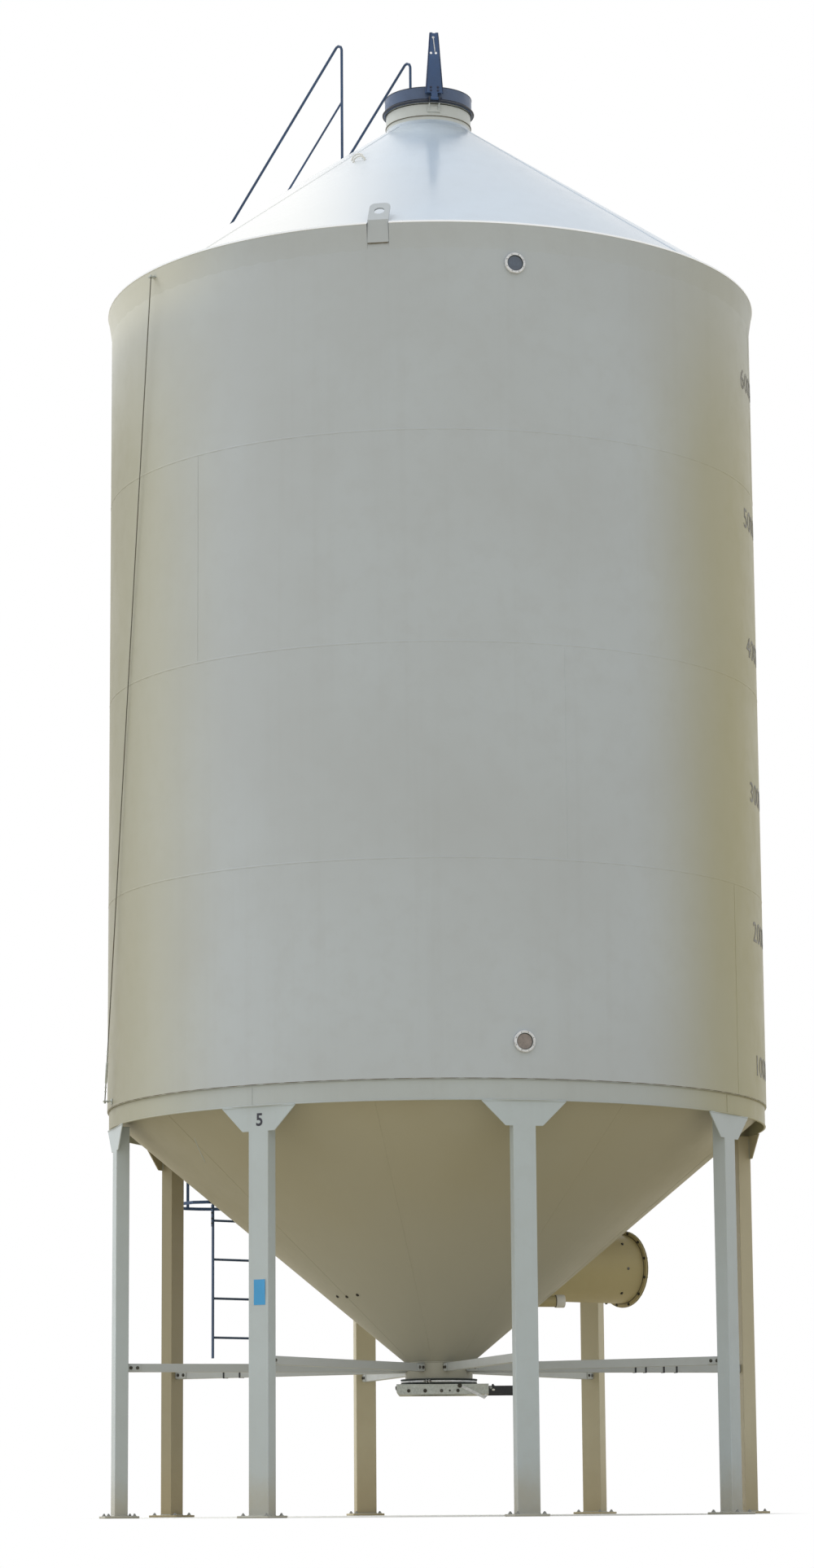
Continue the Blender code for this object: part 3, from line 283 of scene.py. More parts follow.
def two_tone(name, top, foot, level):
    """Sprayed coat that ends at a masked line, seen on the hinge bracket."""
    s = Shader(name, 0.4)
    wander = s.span(s.noise(60.0, 3.0, 0.6), 0.3, 0.7, -0.002, 0.002)
    z = s.math('ADD', s.split(s.coord)[2], wander)
    tint = s.mix(s.span(z, level - 0.001, level + 0.001), foot, top)
    tint = s.mix(s.span(s.noise(14.0, 4.0, 0.6), 0.4, 0.75, 0.0, 0.25), tint, rgb(104, 102, 94))
    return sprayed(s, tint, s.span(s.noise(20.0, 3.0, 0.6), 0.3, 0.7, 0.34, 0.5))


def zinc(name, colour, rough=0.42, metallic=0.55):
    """Hot-dip zinc: crystal spangle, dull white bloom and a few darker runs."""
    s = Shader(name, rough, metallic)
    grain = s.split(s.add("TexVoronoi", {"Scale": 85.0, "Vector": s.coord}).outputs["Color"])[0]
    tint = s.mix(s.span(grain, 0.0, 1.0), tone(colour, 0.86), tone(colour, 1.1))
    bloom = s.noise(9.0, 4.0, 0.6)
    tint = s.mix(s.span(bloom, 0.48, 0.75, 0.0, 0.45), tint, rgb(196, 198, 194))
    runs = s.noise(3.5, 3.0, 0.6, (3.0, 3.0, 0.6))
    tint = s.mix(s.span(runs, 0.58, 0.8, 0.0, 0.4), tint, tone(colour, 0.62, 0.05))
    gloss = s.math('ADD', s.span(grain, 0.0, 1.0, rough - 0.06, rough + 0.06),
                   s.span(bloom, 0.4, 0.8, 0.0, 0.12))
    return s.finish(tint, gloss, s.bump(s.noise(120.0, 2.0, 0.5), 0.12, 0.0005))


def rubber(name, colour, rough=0.62):
    s = Shader(name, rough)
    tint = s.mix(s.span(s.noise(6.0, 4.0, 0.6), 0.3, 0.75), tone(colour, 0.8), tone(colour, 1.35, 0.03))
    gloss = s.span(s.noise(25.0, 3.0, 0.5), 0.3, 0.7, rough - 0.08, rough + 0.1)
    return s.finish(tint, gloss, s.bump(s.noise(240.0, 2.0, 0.6), 0.3, 0.0005))


def pane(name, colour, grain):
    """Sight window over what stands behind it, with a little grain or gloom through the sheet."""
    s = Shader(name, 0.1)
    s.preset({"Coat Weight": 0.6, "Coat Roughness": 0.04})
    tint = s.mix(s.span(s.noise(grain, 5.0, 0.65), 0.32, 0.7), tone(colour, 0.8), tone(colour, 1.18))
    tint = s.mix(s.span(s.noise(150.0, 2.0, 0.6), 0.45, 0.65, 0.0, 0.35), tint, tone(colour, 1.3, 0.02))
    gloss = s.span(s.noise(14.0, 3.0, 0.5), 0.35, 0.75, 0.07, 0.2)
    return s.finish(tint, gloss, s.bump(s.noise(4.0, 1.0, 0.5), 0.1, 0.001))


def weld_paint(name, colour):
    """Painted weld metal: rippled, a little uneven in tone."""
    s = Shader(name, 0.45)
    tint = s.mix(s.span(s.noise(30.0, 4.0, 0.6), 0.3, 0.7), tone(colour, 0.88), tone(colour, 1.1))
    tint = s.mix(s.span(s.noise(4.0, 3.0, 0.6), 0.5, 0.8, 0.0, 0.3), tint, tone(colour, 0.75, 0.05))
    gloss = s.span(s.noise(12.0, 2.0, 0.5), 0.3, 0.7, 0.37, 0.53)
    return s.finish(tint, gloss, s.bump(s.noise(170.0, 3.0, 0.6), 0.35, 0.001))


def wire(name, colour):
    """Laid wire rope: diagonal strand bump."""
    s = Shader(name, 0.4, 0.5)
    lay = s.add("TexWave", {"Scale": 120.0, "Distortion": 0.4, "Vector": s.coord},
                bands_direction='DIAGONAL').outputs["Fac"]
    tint = s.mix(lay, tone(colour, 0.62), tone(colour, 1.15))
    tint = s.mix(s.span(s.noise(5.0, 3.0, 0.6), 0.5, 0.8, 0.0, 0.5), tint, rgb(96, 78, 60))
    gloss = s.span(s.noise(22.0, 2.0, 0.5), 0.3, 0.7, 0.32, 0.52)
    return s.finish(tint, gloss, s.bump(lay, 0.5, 0.0008))


LID_SHADE = rgb(46, 52, 66)
COLLAR_PAINT = rgb(202, 207, 206)
LEG_SPLASH = {"splash": (0.1, 0.9), "gloss": 0.3}
# Wall and ring: painted reflection and shade on the sides, and a painted highlight at the top left
SIDES = {"painted_light": side_painted_light, "gloss": 0.16}

WALL = enamel("wall_enamel", CREAM, 0.4, 0.007, **SIDES)
ROOF = enamel("roof_enamel", rgb(182, 196, 211), 0.17, 0.005, 0.06, 0.05, roof_painted_light)
CONE = enamel("hopper_enamel", rgb(172, 170, 154), 0.42, 0.006, 0.1, 0.08, cone_painted_light, gloss=0.3)
RING = enamel("ring_enamel", rgb(182, 189, 191), 0.4, 0.004, **SIDES)
# Eave flashing whose near-white colour is a painted highlight along the eave lip
EAVE_PAINTED_HIGHLIGHT = enamel("eave_flashing_painted_highlight", rgb(240, 243, 246), 0.3, 0.0005, 0.03, 0.03, metal=0.75)
COLLAR = enamel("collar_enamel", COLLAR_PAINT, 0.38, 0.002, 0.08, 0.14)
LEG_FRONT = enamel("leg_enamel", rgb(185, 195, 200), 0.4, 0.002, splash=(0.05, 0.65), gloss=0.3)
# Darker olive copy of the leg paint for the far rear leg: painted shade
LEG_FAR_PAINTED_SHADE = enamel("leg_enamel_far_painted_shade", rgb(164, 157, 134), 0.42, 0.002, 0.12, 0.14, **LEG_SPLASH)
# Warmer olive copy of the leg paint for the rear legs: painted shade tone
LEG_REAR_PAINTED_SHADE = enamel("leg_enamel_rear_painted_shade", rgb(201, 195, 172), 0.42, 0.002, 0.12, 0.14, **LEG_SPLASH)
STRUT = enamel("strut_enamel", rgb(182, 188, 191), 0.4, 0.002, 0.12, 0.06)
DUCT = enamel("duct_enamel", rgb(187, 176, 136), 0.4, 0.003, gloss=0.3)
DUCT_RIM = enamel("duct_cover_enamel", rgb(156, 146, 104), 0.42, 0.002, 0.12, gloss=0.3)
NAVY = steel_paint("ladder_paint", rgb(40, 68, 104))
LEVER = steel_paint("lever_paint", rgb(59, 87, 131), 0.4)
LEVER_DARK = steel_paint("lever_flange_paint", rgb(32, 44, 76))
LID = steel_paint("lid_paint", rgb(80, 98, 130), 0.34, (130, 122, 104), 0.25)
LID_DARK = steel_paint("lid_rim_paint", LID_SHADE, 0.45, (120, 100, 76), 0.45)
HINGE = two_tone("hinge_paint", LID_SHADE, COLLAR_PAINT, COLLAR_TOP - 0.034)
ZINC = zinc("gate_zinc", rgb(180, 186, 183))
ZINC_PALE = zinc("ring_zinc", rgb(216, 219, 224), 0.36, 0.35)
BLACK = steel_paint("gate_black_paint", rgb(30, 34, 40), 0.45, chips=0.35)
GASKET = rubber("gasket_rubber", rgb(46, 54, 54))
SEAL = rubber("joint_sealant", rgb(98, 92, 78), 0.55)
BOLT_DARK = zinc("bolt_weathered", rgb(64, 62, 56), 0.5, 0.45)
BOLT = zinc("bolt_zinc", rgb(150, 152, 150), 0.4, 0.6)
WELD_NAVY = weld_paint("weld_navy", rgb(44, 62, 86))
GLASS_BLUE = pane("window_upper", rgb(70, 84, 104), 9.0)
GLASS_GREY = pane("window_lower", rgb(128, 118, 112), 30.0)
ROPE = wire("pull_cable_wire", rgb(112, 112, 102))
INK = rubber("marking_grey", rgb(120, 119, 114), 0.5)
INK_DARK = rubber("marking_dark", rgb(52, 54, 66), 0.5)
TAG = enamel("sticker_blue", rgb(66, 156, 214), 0.42, 0.001, 0.05, 0.05)
PALE = enamel("pale_plastic", rgb(226, 226, 222), 0.4, 0.0005, 0.05, 0.02)


# Mesh building
def meshes(count):
    return [bmesh.new() for _ in range(count)]


def as_object(name, bm, mat):
    bmesh.ops.recalc_face_normals(bm, faces=bm.faces)
    mesh = bpy.data.meshes.new(name)
    bm.to_mesh(mesh)
    bm.free()
    mesh.materials.append(mat)
    obj = bpy.data.objects.new(name, mesh)
    SCENE.collection.objects.link(obj)
    return obj


def piece(name, bm, mat, smooth=35.0, body="structure"):
    """One visible piece; edges sharper than smooth degrees stay sharp."""
    obj = as_object(name, bm, mat)
    if smooth:
        obj.data.shade_smooth()
        obj.data.set_sharp_from_angle(angle=math.radians(smooth))
    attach(obj, body)


def frame_of(normal):
    """Two directions square to a normal."""
    n = normal.normalized()
    seed = UP if abs(n.z) < 0.9 else RIGHT
    u = seed.cross(n).normalized()
    return u, n.cross(u)


def wheel(count, start=0.0):
    """Cosine and sine at even steps round a circle."""
    turns = [2.0 * math.pi * (k + start) / count for k in range(count)]
    return [(math.cos(a), math.sin(a)) for a in turns]


def circle(r, z, count=288):
    """Points of a level circle round the bin's axis."""
    return [at(360.0 * i / count, r, z) for i in range(count)]


def hoop(azimuth, r, z, radius, count, side=0.0, start=0.0):
    """Points of an upright circle that faces outward; r may be a function of (side, z)."""
    points = []
    for c, s in wheel(count, start):
        x, y = side + radius * c, z + radius * s
        points.append(at(azimuth, r(x, y) if callable(r) else r, y, x))
    return points


def on_cone(lift):
    """Distance at which a point stands a little off the hopper's skin, for hoop."""
    return lambda x, z: math.sqrt(((z - HOPPER_APEX) / HOPPER_TAN) ** 2 - x * x) + lift


def line(a, b, step):
    count = max(2, int((b - a).length / step) + 1)
    return [a.lerp(b, i / (count - 1)) for i in range(count)]


def skin(bm, rings, caps=(0, -1)):
    """Join closed rings of points, and cap those named or, with no caps, join last to first."""
    rings = [[bm.verts.new(p) for p in ring] for ring in rings]
    faces = []
    for low, high in zip(rings, rings[1:] + ([] if caps else rings[:1])):
        for i in range(len(low)):
            j = (i + 1) % len(low)
            faces.append(bm.faces.new((low[i], low[j], high[j], high[i])))
    return faces + [bm.faces.new(rings[index]) for index in caps]


def turned(bm, centre, normal, profile, sides, spin=0.0):
    """Stack of rings (radius, height along the normal) capped at both ends."""
    u, v = frame_of(normal)
    n = normal.normalized()
    skin(bm, [[centre + n * h + u * (r * c) + v * (r * s) for c, s in wheel(sides, spin)]
              for r, h in profile])


def ring_piece(bm, profile, sides, r=0.0, z=0.0):
    """Closed profile of offsets from (r, z), turned about the bin's axis."""
    skin(bm, [circle(r + dr, z + dz, sides) for dr, dz in profile], ())


def bolt(bm, centre, normal, head=0.016, height=None, washer=True):
    """Hex head with a chamfered crown on a thin washer."""
    height = height or head * 0.42
    base = 0.0
    if washer:
        base = head * 0.1
        wide = head * 0.74
        turned(bm, centre, normal, [(wide, -0.0005), (wide, base * 0.8), (head * 0.7, base)], 14)
    r = head / 2.0 / math.cos(math.pi / 6.0)
    turned(bm, centre, normal, [(r, base * 0.5), (r, base + height * 0.78), (r * 0.8, base + height)], 6,
           RNG.random())


def stud(bm, centre, normal, thread, nut_h, length):
    """Anchor stud with its nut and washer."""
    turned(bm, centre, normal, [(thread * 1.25, 0.0), (thread * 1.25, 0.003), (thread * 1.18, 0.0035)], 16)
    turned(bm, centre, normal, [(thread * 0.9, 0.003), (thread * 0.9, 0.003 + nut_h * 0.85),
                                (thread * 0.76, 0.003 + nut_h)], 6, RNG.random())
    steps = []
    z = 0.003 + nut_h
    while z < length:
        steps += [(thread * 0.5, z), (thread * 0.44, z + 0.0012)]
        z += 0.0024
    turned(bm, centre, normal, steps + [(thread * 0.38, length)], 10)


def bead(bm, path, radius, sides=6, closed=False, ripple=0.1):
    """Weld, sealant bead or rod along a path, with a rippled thickness."""
    last = len(path) - 1
    rings = []
    up = None
    for i, p in enumerate(path):
        before = path[i - 1] if (i > 0 or closed) else p
        after = path[0 if i == last else i + 1] if (i < last or closed) else p
        along = (after - before).normalized()
        if up is None:
            up = frame_of(along)[0]
        up = (up - along * up.dot(along)).normalized()
        side = along.cross(up)
        r = radius * (1.0 + ripple * (RNG.random() - 0.5) * 2.0)
        if not closed and i in (0, last):
            r *= 0.5
        rings.append([p + side * (c * r) + up * (s * r) for c, s in wheel(sides)])
    skin(bm, rings, () if closed else (0, -1))


def seam(bm, azimuth, start, end, radius, step=0.008, sides=6, ripple=0.16):
    """Straight bead between two places (r, z, side) at an azimuth."""
    bead(bm, line(at(azimuth, *start), at(azimuth, *end), step), radius, sides, False, ripple)


def plate(bm, centre, ex, ey, ez, half, bevel):
    """Flat plate or block with eased edges; ex, ey and ez are its own directions."""
    corners = ((-1, -1), (1, -1), (1, 1), (-1, 1))
    faces = skin(bm, [[centre + ex * (x * half[0]) + ey * (y * half[1]) + ez * (z * half[2])
                       for x, y in corners] for z in (-1, 1)])
    bmesh.ops.bevel(bm, geom=list({e for f in faces for e in f.edges}), offset=min(bevel, min(half) * 0.6),
                    segments=2, profile=0.5, affect='EDGES')


def block(bm, azimuth, place, half, bevel):
    """Plate at (r, z, side) whose half sizes run outward, sideways and up."""
    plate(bm, at(azimuth, *place), radial(azimuth), tangent(azimuth), UP, half, bevel)


# CAD nodes: smooth or eased edges, and materials
def soft_edges():
    """Node group that merges split corners and smooths every edge below an angle."""
    group = bpy.data.node_groups.new("soft_edges", "GeometryNodeTree")
    for way in ('INPUT', 'OUTPUT'):
        group.interface.new_socket("Geometry", in_out=way, socket_type='NodeSocketGeometry')
    nodes = group.nodes
    drop = nodes.new("GeometryNodeRemoveAttribute")
    drop.inputs["Name"].default_value = "custom_normal"
    merge = nodes.new("GeometryNodeMergeByDistance")
    merge.inputs["Distance"].default_value = 0.00002
    faces = nodes.new("GeometryNodeSetShadeSmooth")
    edges = nodes.new("GeometryNodeSetShadeSmooth")
    edges.domain = 'EDGE'
    angle = nodes.new("GeometryNodeInputMeshEdgeAngle")
    less = nodes.new("FunctionNodeCompare")
    less.operation = 'LESS_THAN'
    less.inputs[1].default_value = math.radians(26.0)
    chain = [nodes.new("NodeGroupInput"), drop, merge, faces, edges, nodes.new("NodeGroupOutput")]
    for a, b in zip(chain, chain[1:]):
        group.links.new(a.outputs[0], b.inputs[0])
    group.links.new(angle.outputs["Unsigned Angle"], less.inputs[0])
    group.links.new(less.outputs[0], edges.inputs["Shade Smooth"])
    return group


SOFT = soft_edges()
DRESS = (
    (WALL, 0.0, "wall_course_1 wall_course_2 wall_course_3 wall_course_4"),
    (WALL, 0.0015, "lifting_lug_front lifting_lug_rear"),
    (RING, 0.0, "base_ring"),
    (ROOF, 0.0, "roof_cone"),
    (COLLAR, 0.0, "roof_collar"),
    (CONE, 0.0, "hopper_cone outlet_boot"),
    (GASKET, 0.0, "outlet_gasket"),
    (ZINC, 0.002, "gate_frame"),
    (ZINC, 0.001, "cable_guide cable_cleat"),
    (ZINC_PALE, 0.0012, "gate_latch"),
    (ZINC_PALE, 0.0, "sight_port_upper sight_port_lower"),
    (GLASS_BLUE, 0.001, "sight_glass_upper"),
    (GLASS_GREY, 0.001, "sight_glass_lower"),
    (BLACK, 0.0012, "gate_rails"),
    (BLACK, 0.001, "gate_slide"),
    (BLACK, 0.0016, "gate_handle"),
    (LEG_FRONT, 0.0035, "leg_1 leg_2 leg_7 leg_8"),
    (LEG_REAR_PAINTED_SHADE, 0.0035, "leg_3 leg_4 leg_5"),
    (LEG_FAR_PAINTED_SHADE, 0.0035, "leg_6"),
    (STRUT, 0.003, "strut_1 strut_2 strut_3 strut_4 strut_5 strut_6 strut_7 strut_8"),
    (DUCT, 0.0, "aeration_duct sample_port"),
    (DUCT_RIM, 0.002, "duct_cover"),
    (NAVY, 0.001, "ladder_lower ladder_upper ladder_cage roof_ladder"),
    (NAVY, 0.001, "ladder_tie_1 ladder_tie_2 ladder_tie_3 ladder_tie_4"),
    (NAVY, 0.0, "handrail_left handrail_right"),
    (ROPE, 0.0, "opener_cable"),
    (LID, 0.0006, "lid"),
    (LEVER, 0.0008, "lid_lever"),
    (HINGE, 0.0008, "lid_hinge_bracket"),
)


def dress(obj, mat, ease):
    obj.data.materials.clear()
    obj.data.materials.append(mat)
    obj.modifiers.new("soft_edges", 'NODES').node_group = SOFT
    if ease:
        mod = obj.modifiers.new("eased", 'BEVEL')
        mod.width = ease
        mod.segments = 2
        mod.limit_method = 'ANGLE'
        mod.angle_limit = math.radians(35.0)


for coat, ease, names in DRESS:
    for node_name in names.split():
        dress(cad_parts[node_name], coat, ease)


# Wall: weld seams, painted shadow line at the foot, eave and ring
def build_wall_details():
    bm = bmesh.new()
    weld = [(-0.002, -0.0065), (0.0, -0.006), (0.0004, -0.0045), (0.0008, -0.002), (0.0009, 0.0)]
    weld += [(dr, -dz) for dr, dz in reversed(weld[:-1])]
    for i in (1, 2, 3):
        ring_piece(bm, weld, 288, BODY_R, WALL_BASE + i * COURSE_H)
    r = BODY_R - 0.0016
    for course, azimuths in enumerate(((-118.0, 62.0), (22.0, 202.0), (-43.7, 136.3), (-100.0, 80.0))):
        low = WALL_BASE + course * COURSE_H
        for azimuth in azimuths:
            seam(bm, azimuth, (r, low), (r, low + COURSE_H), 0.0024, 0.03, 8, 0.06)
    piece("wall_weld_seams", bm, WALL)

    # Thin dark band round the wall's foot: painted shadow of the gap under the wall
    bm = bmesh.new()
    ring_piece(bm, [(-0.006, -0.0052), (-0.002, -0.0042), (-0.0006, -0.0016), (-0.0004, 0.0006),
                    (-0.006, 0.0004)], 288, BODY_R, WALL_BASE)
    piece("wall_foot_shadow_line", bm, SEAL)

    drip, cove = meshes(2)
    drip_profile = ((-0.001, -0.0065), (0.0046, -0.0065), (0.0056, -0.0052), (0.0034, 0.0078),
                    (0.0018, 0.009), (-0.001, 0.0064))
    cove_profile = ((-0.001, 0.002), (0.003, -0.001), (0.0024, -0.009), (-0.004, -0.045),
                    (-0.0115, -0.09), (-0.0185, -0.135), (-0.0234, -0.175), (-0.0256, -0.195),
                    (-0.03, -0.195))
    lip = BODY_R + 0.0242
    edge = roof_z(lip) - 0.003
    for start in LUG_AZ:
        for bm, profile in ((drip, drip_profile), (cove, cove_profile)):
            skin(bm, [[at(start + 1.84 + 1.102 * i, lip + dr, edge + dz) for dr, dz in profile]
                      for i in range(161)])
    piece("eave_cove", cove, WALL, 50.0)
    # The drip edge's near-white colour paints the highlight along the eave
    piece("eave_drip_edge", drip, EAVE_PAINTED_HIGHLIGHT, 30.0)

    bm = bmesh.new()
    bead(bm, circle(RING_R + 0.0002, RING_BASE + 0.004), 0.0042, 8, True, 0.04)
    bead(bm, circle(RING_R + 0.0002, WALL_BASE - 0.0095), 0.003, 6, True, 0.12)
    piece("ring_edge_bead", bm, RING)

    bm = bmesh.new()
    r = RING_R - 0.0008
    for azimuth in (58.0, 148.0, 238.0, 328.0):
        seam(bm, azimuth, (r, RING_BASE), (r, WALL_BASE - 0.01), 0.0035, 0.01, 6, 0.15)
    piece("ring_joint_welds", bm, RING)


def build_roof_details():
    bm = bmesh.new()
    lap = ((-0.02, -0.004), (-0.02, 0.0002), (-0.013, 0.003), (0.013, 0.0036), (0.017, 0.0002),
           (0.017, -0.004))
    for azimuth in (48.0, 138.0, 228.0, 318.0):
        low, high = (at(azimuth, r, roof_z(r)) for r in (BODY_R + 0.016, COLLAR_R + 0.02))
        normal = UP * math.cos(ROOF_SLOPE) + radial(azimuth) * math.sin(ROOF_SLOPE)
        skin(bm, [[p + tangent(azimuth) * x + normal * h for x, h in lap] for p in line(low, high, 0.05)])
    piece("roof_lap_seams", bm, ROOF)

    bm = bmesh.new()
    ring_piece(bm, [(-0.001, 10.518), (0.026, roof_z(COLLAR_R + 0.026) - 0.001), (0.01, 10.529),
                    (0.003, 10.54), (-0.001, 10.552)], 96, COLLAR_R)
    piece("collar_fillet", bm, ROOF)

    bm = bmesh.new()
    bead(bm, circle(COLLAR_R + 0.003, COLLAR_TOP - 0.1232, 128), 0.0028, 6, True, 0.12)
    piece("collar_bead_line", bm, SEAL)
    bm = bmesh.new()
    bead(bm, circle(COLLAR_R + 0.0006, COLLAR_TOP - 0.026, 96), 0.004, 8, True, 0.03)
    piece("collar_lid_seal", bm, GASKET)

    bm = bmesh.new()
    half = 0.048
    for azimuth, r in ((-32.5, 1.0), (-29.5, 1.065)):
        foot = at(azimuth, r, roof_z(r))
        wide = tangent(azimuth)
        arch = [math.pi * k / 12.0 for k in range(13)]
        path = [foot + UP * (0.004 + 0.034 * math.sin(a)) - wide * (half * math.cos(a)) for a in arch]
        ends = [foot + wide * (half * sign) - UP * 0.002 for sign in (-1, 1)]
        bead(bm, [ends[0]] + path + [ends[1]], 0.0065, 10, False, 0.0)
        for sign in (-1, 1):
            turned(bm, foot + wide * (half * sign), UP, [(0.011, -0.006), (0.01, 0.004), (0.006, 0.007)], 12)
    piece("roof_hand_loops", bm, PALE)


def build_lug_details():
    sides, feet = meshes(2)
    low = WALL_TOP - 0.154
    for azimuth in LUG_AZ:
        r = WALL_FACE + 0.006
        seam(feet, azimuth, (r, low - 0.001, -0.074), (r, low - 0.001, 0.074), 0.0052, 0.006, 8, 0.18)
        r = WALL_FACE + 0.002
        for x in (-0.076, 0.076):
            seam(sides, azimuth, (r, low + 0.004, x), (r, WALL_TOP - 0.016, x), 0.004, 0.006)
    piece("lug_side_welds", sides, WALL)
    piece("lug_foot_welds", feet, SEAL)


def build_ports():
    screws, seals = meshes(2)
    for z in PORT_Z:
        for spot in hoop(PORT_AZ, WALL_FACE + 0.02, z, 0.066, 8, start=0.5):
            turned(screws, spot, radial(PORT_AZ), [(0.004, -0.001), (0.0038, 0.0012), (0.0022, 0.002)], 10)
        bead(seals, hoop(PORT_AZ, WALL_FACE + 0.0115, z, 0.056, 48), 0.0028, 8, True, 0.02)
    piece("port_screws", screws, BOLT, 40.0)
    piece("port_seals", seals, GASKET)


# Markings
def text_mesh(text, height, bold=0.0):
    """Flat outline of a text as vertices and faces, centred, with a given height."""
    curve = bpy.data.curves.new("marking", 'FONT')
    curve.body = text
    curve.align_x = 'CENTER'
    curve.offset = bold
    obj = bpy.data.objects.new("marking", curve)
    SCENE.collection.objects.link(obj)
    bpy.context.view_layer.update()
    mesh = obj.evaluated_get(bpy.context.evaluated_depsgraph_get()).to_mesh()
    points = [v.co.copy() for v in mesh.vertices]
    faces = [list(p.vertices) for p in mesh.polygons]
    bpy.data.objects.remove(obj, do_unlink=True)
    low = min(p.y for p in points)
    mid = (min(p.x for p in points) + max(p.x for p in points)) / 2.0
    scale = height / (max(p.y for p in points) - low)
    return [((p.x - mid) * scale, (p.y - low) * scale) for p in points], faces


def stamp(bm, flat, place):
    """Lay a flat text on the object: place(x, y, lift) gives the point."""
    points, faces = flat
    top, low = ([bm.verts.new(place(x, y, lift)) for x, y in points] for lift in (0.0006, -0.0004))
    edges = {}
    for face in faces:
        bm.faces.new([top[i] for i in face])
        bm.faces.new([low[i] for i in reversed(face)])
        for a, b in zip(face, face[1:] + face[:1]):
            key = (min(a, b), max(a, b))
            edges[key] = edges.get(key, 0) + 1
    for (a, b), count in edges.items():
        if count == 1:
            bm.faces.new((top[a], top[b], low[b], low[a]))


def build_markings():
    bm = bmesh.new()
    for text, middle in (("6000", 8.353), ("5000", 7.28), ("4000", 6.3), ("3000", 5.21),
                         ("2000", 4.175), ("1000", 3.195)):
        def on_wall(x, y, lift, foot=middle - 0.075):
            azimuth = LEVEL_AZ + math.degrees(x * 1.25 / BODY_R)
            return at(azimuth, BODY_R + 0.0008 + lift, foot + y)
        stamp(bm, text_mesh(text, 0.15), on_wall)
    piece("level_numbers", bm, INK, 0.0)

    bm = bmesh.new()
    azimuth = LEG_AZ[7]
    stamp(bm, text_mesh("5", 0.088, 0.022),
          lambda x, y, lift: at(azimuth, LEG_FACE_R + 0.0006 + lift, 2.66 + y, 0.009 + x))
    piece("leg_number", bm, INK_DARK, 0.0)

    # The sticker's upper right corner curls away from the leg
    bm = bmesh.new()
    rows = 15
    cols = 9
    grid = []
    for j in range(rows):
        v = j / (rows - 1)
        grid.append([])
        for i in range(cols):
            u = i / (cols - 1)
            curl = 0.0008 + 0.005 * max(0.0, u - 0.62) ** 2 * 7.0 * v + 0.0004 * math.sin(9.0 * v + 3.0 * u)
            grid[-1].append(at(azimuth, LEG_FACE_R + curl, 1.435 + 0.173 * v, -0.036 + 0.093 * u))
    under, upper = ([[bm.verts.new(p + radial(azimuth) * lift) for p in row] for row in grid]
                    for lift in (0.0, 0.0006))
    for sheet in (under, upper):
        for low, high in zip(sheet, sheet[1:]):
            for i in range(cols - 1):
                bm.faces.new((low[i], low[i + 1], high[i + 1], high[i]))
    rim = [(j, i, j, i + 1) for i in range(cols - 1) for j in (0, rows - 1)]
    rim += [(j, i, j + 1, i) for j in range(rows - 1) for i in (0, cols - 1)]
    for a, b, c, d in rim:
        bm.faces.new((under[a][b], under[c][d], upper[c][d], upper[a][b]))
    piece("blank_sticker", bm, TAG, 50.0)


# Legs and struts
def build_leg_details():
    welds, studs, clips, bolts = meshes(4)
    top = RING_BASE - 0.0003
    foot = 0.018
    gusset, leg, stud_x = 0.296, 0.0805, 0.094
    for azimuth in LEG_AZ:
        r = LEG_FACE_R + 0.0005
        seam(welds, azimuth, (r, top - 0.002, -gusset), (r, top - 0.002, gusset), 0.0042)
        r = LEG_FACE_R - 0.0095
        for s in (-1, 1):
            seam(welds, azimuth, (r, top - 0.172, s * leg), (r, top - 0.02, s * leg), 0.0036)
            seam(welds, azimuth, (LEG_FACE_R - 0.093, foot, s * 0.081), (LEG_FACE_R - 0.003, foot, s * 0.081),
                 0.0046)
        for r in (LEG_FACE_R + 0.001, LEG_FACE_R - 0.097):
            seam(welds, azimuth, (r, foot, -0.078), (r, foot, 0.078), 0.0046)
        for dr in (-stud_x, stud_x):
            for x in (-stud_x, stud_x):
                stud(studs, at(azimuth, LEG_FACE_R - LEG_DEPTH / 2.0 + dr, 0.016, x), UP, 0.013, 0.009, 0.017)
        for r in (LEG_FACE_R - LEG_DEPTH - 0.0503, 0.302):
            for s in (-1, 1):
                block(clips, azimuth, (r, STRUT_Z, s * 0.0285), (0.048, 0.003, 0.026), 0.0012)
                for dr in (-0.024, 0.024):
                    bolt(bolts, at(azimuth, r + dr, STRUT_Z, s * 0.0315), tangent(azimuth) * s, 0.017)
    piece("leg_welds", welds, LEG_FRONT)
    piece("anchor_studs", studs, BOLT, 40.0)
    piece("strut_clips", clips, STRUT, 40.0)
    piece("strut_clip_bolts", bolts, BOLT_DARK, 40.0)

    straps = bmesh.new()
    corners = ((-0.0262, -0.0312), (0.0262, -0.0312), (0.0262, 0.0312), (-0.0262, 0.0312))
    band = ((-0.0065, 1.0), (-0.0065, 1.055), (0.0065, 1.055), (0.0065, 1.0))
    for leg, radii in ((5, (1.88, 1.735)), (2, (1.5, 1.58, 1.72, 1.82))):
        azimuth = LEG_AZ[leg]
        for r in radii:
            skin(straps, [[at(azimuth, r + dr, STRUT_Z + z * grow, x * grow) for x, z in corners]
                          for dr, grow in band], ())
            block(straps, azimuth, (r, STRUT_Z + 0.0355, 0.0), (0.008, 0.01, 0.003), 0.0008)
    piece("strut_straps", straps, BLACK, 30.0)


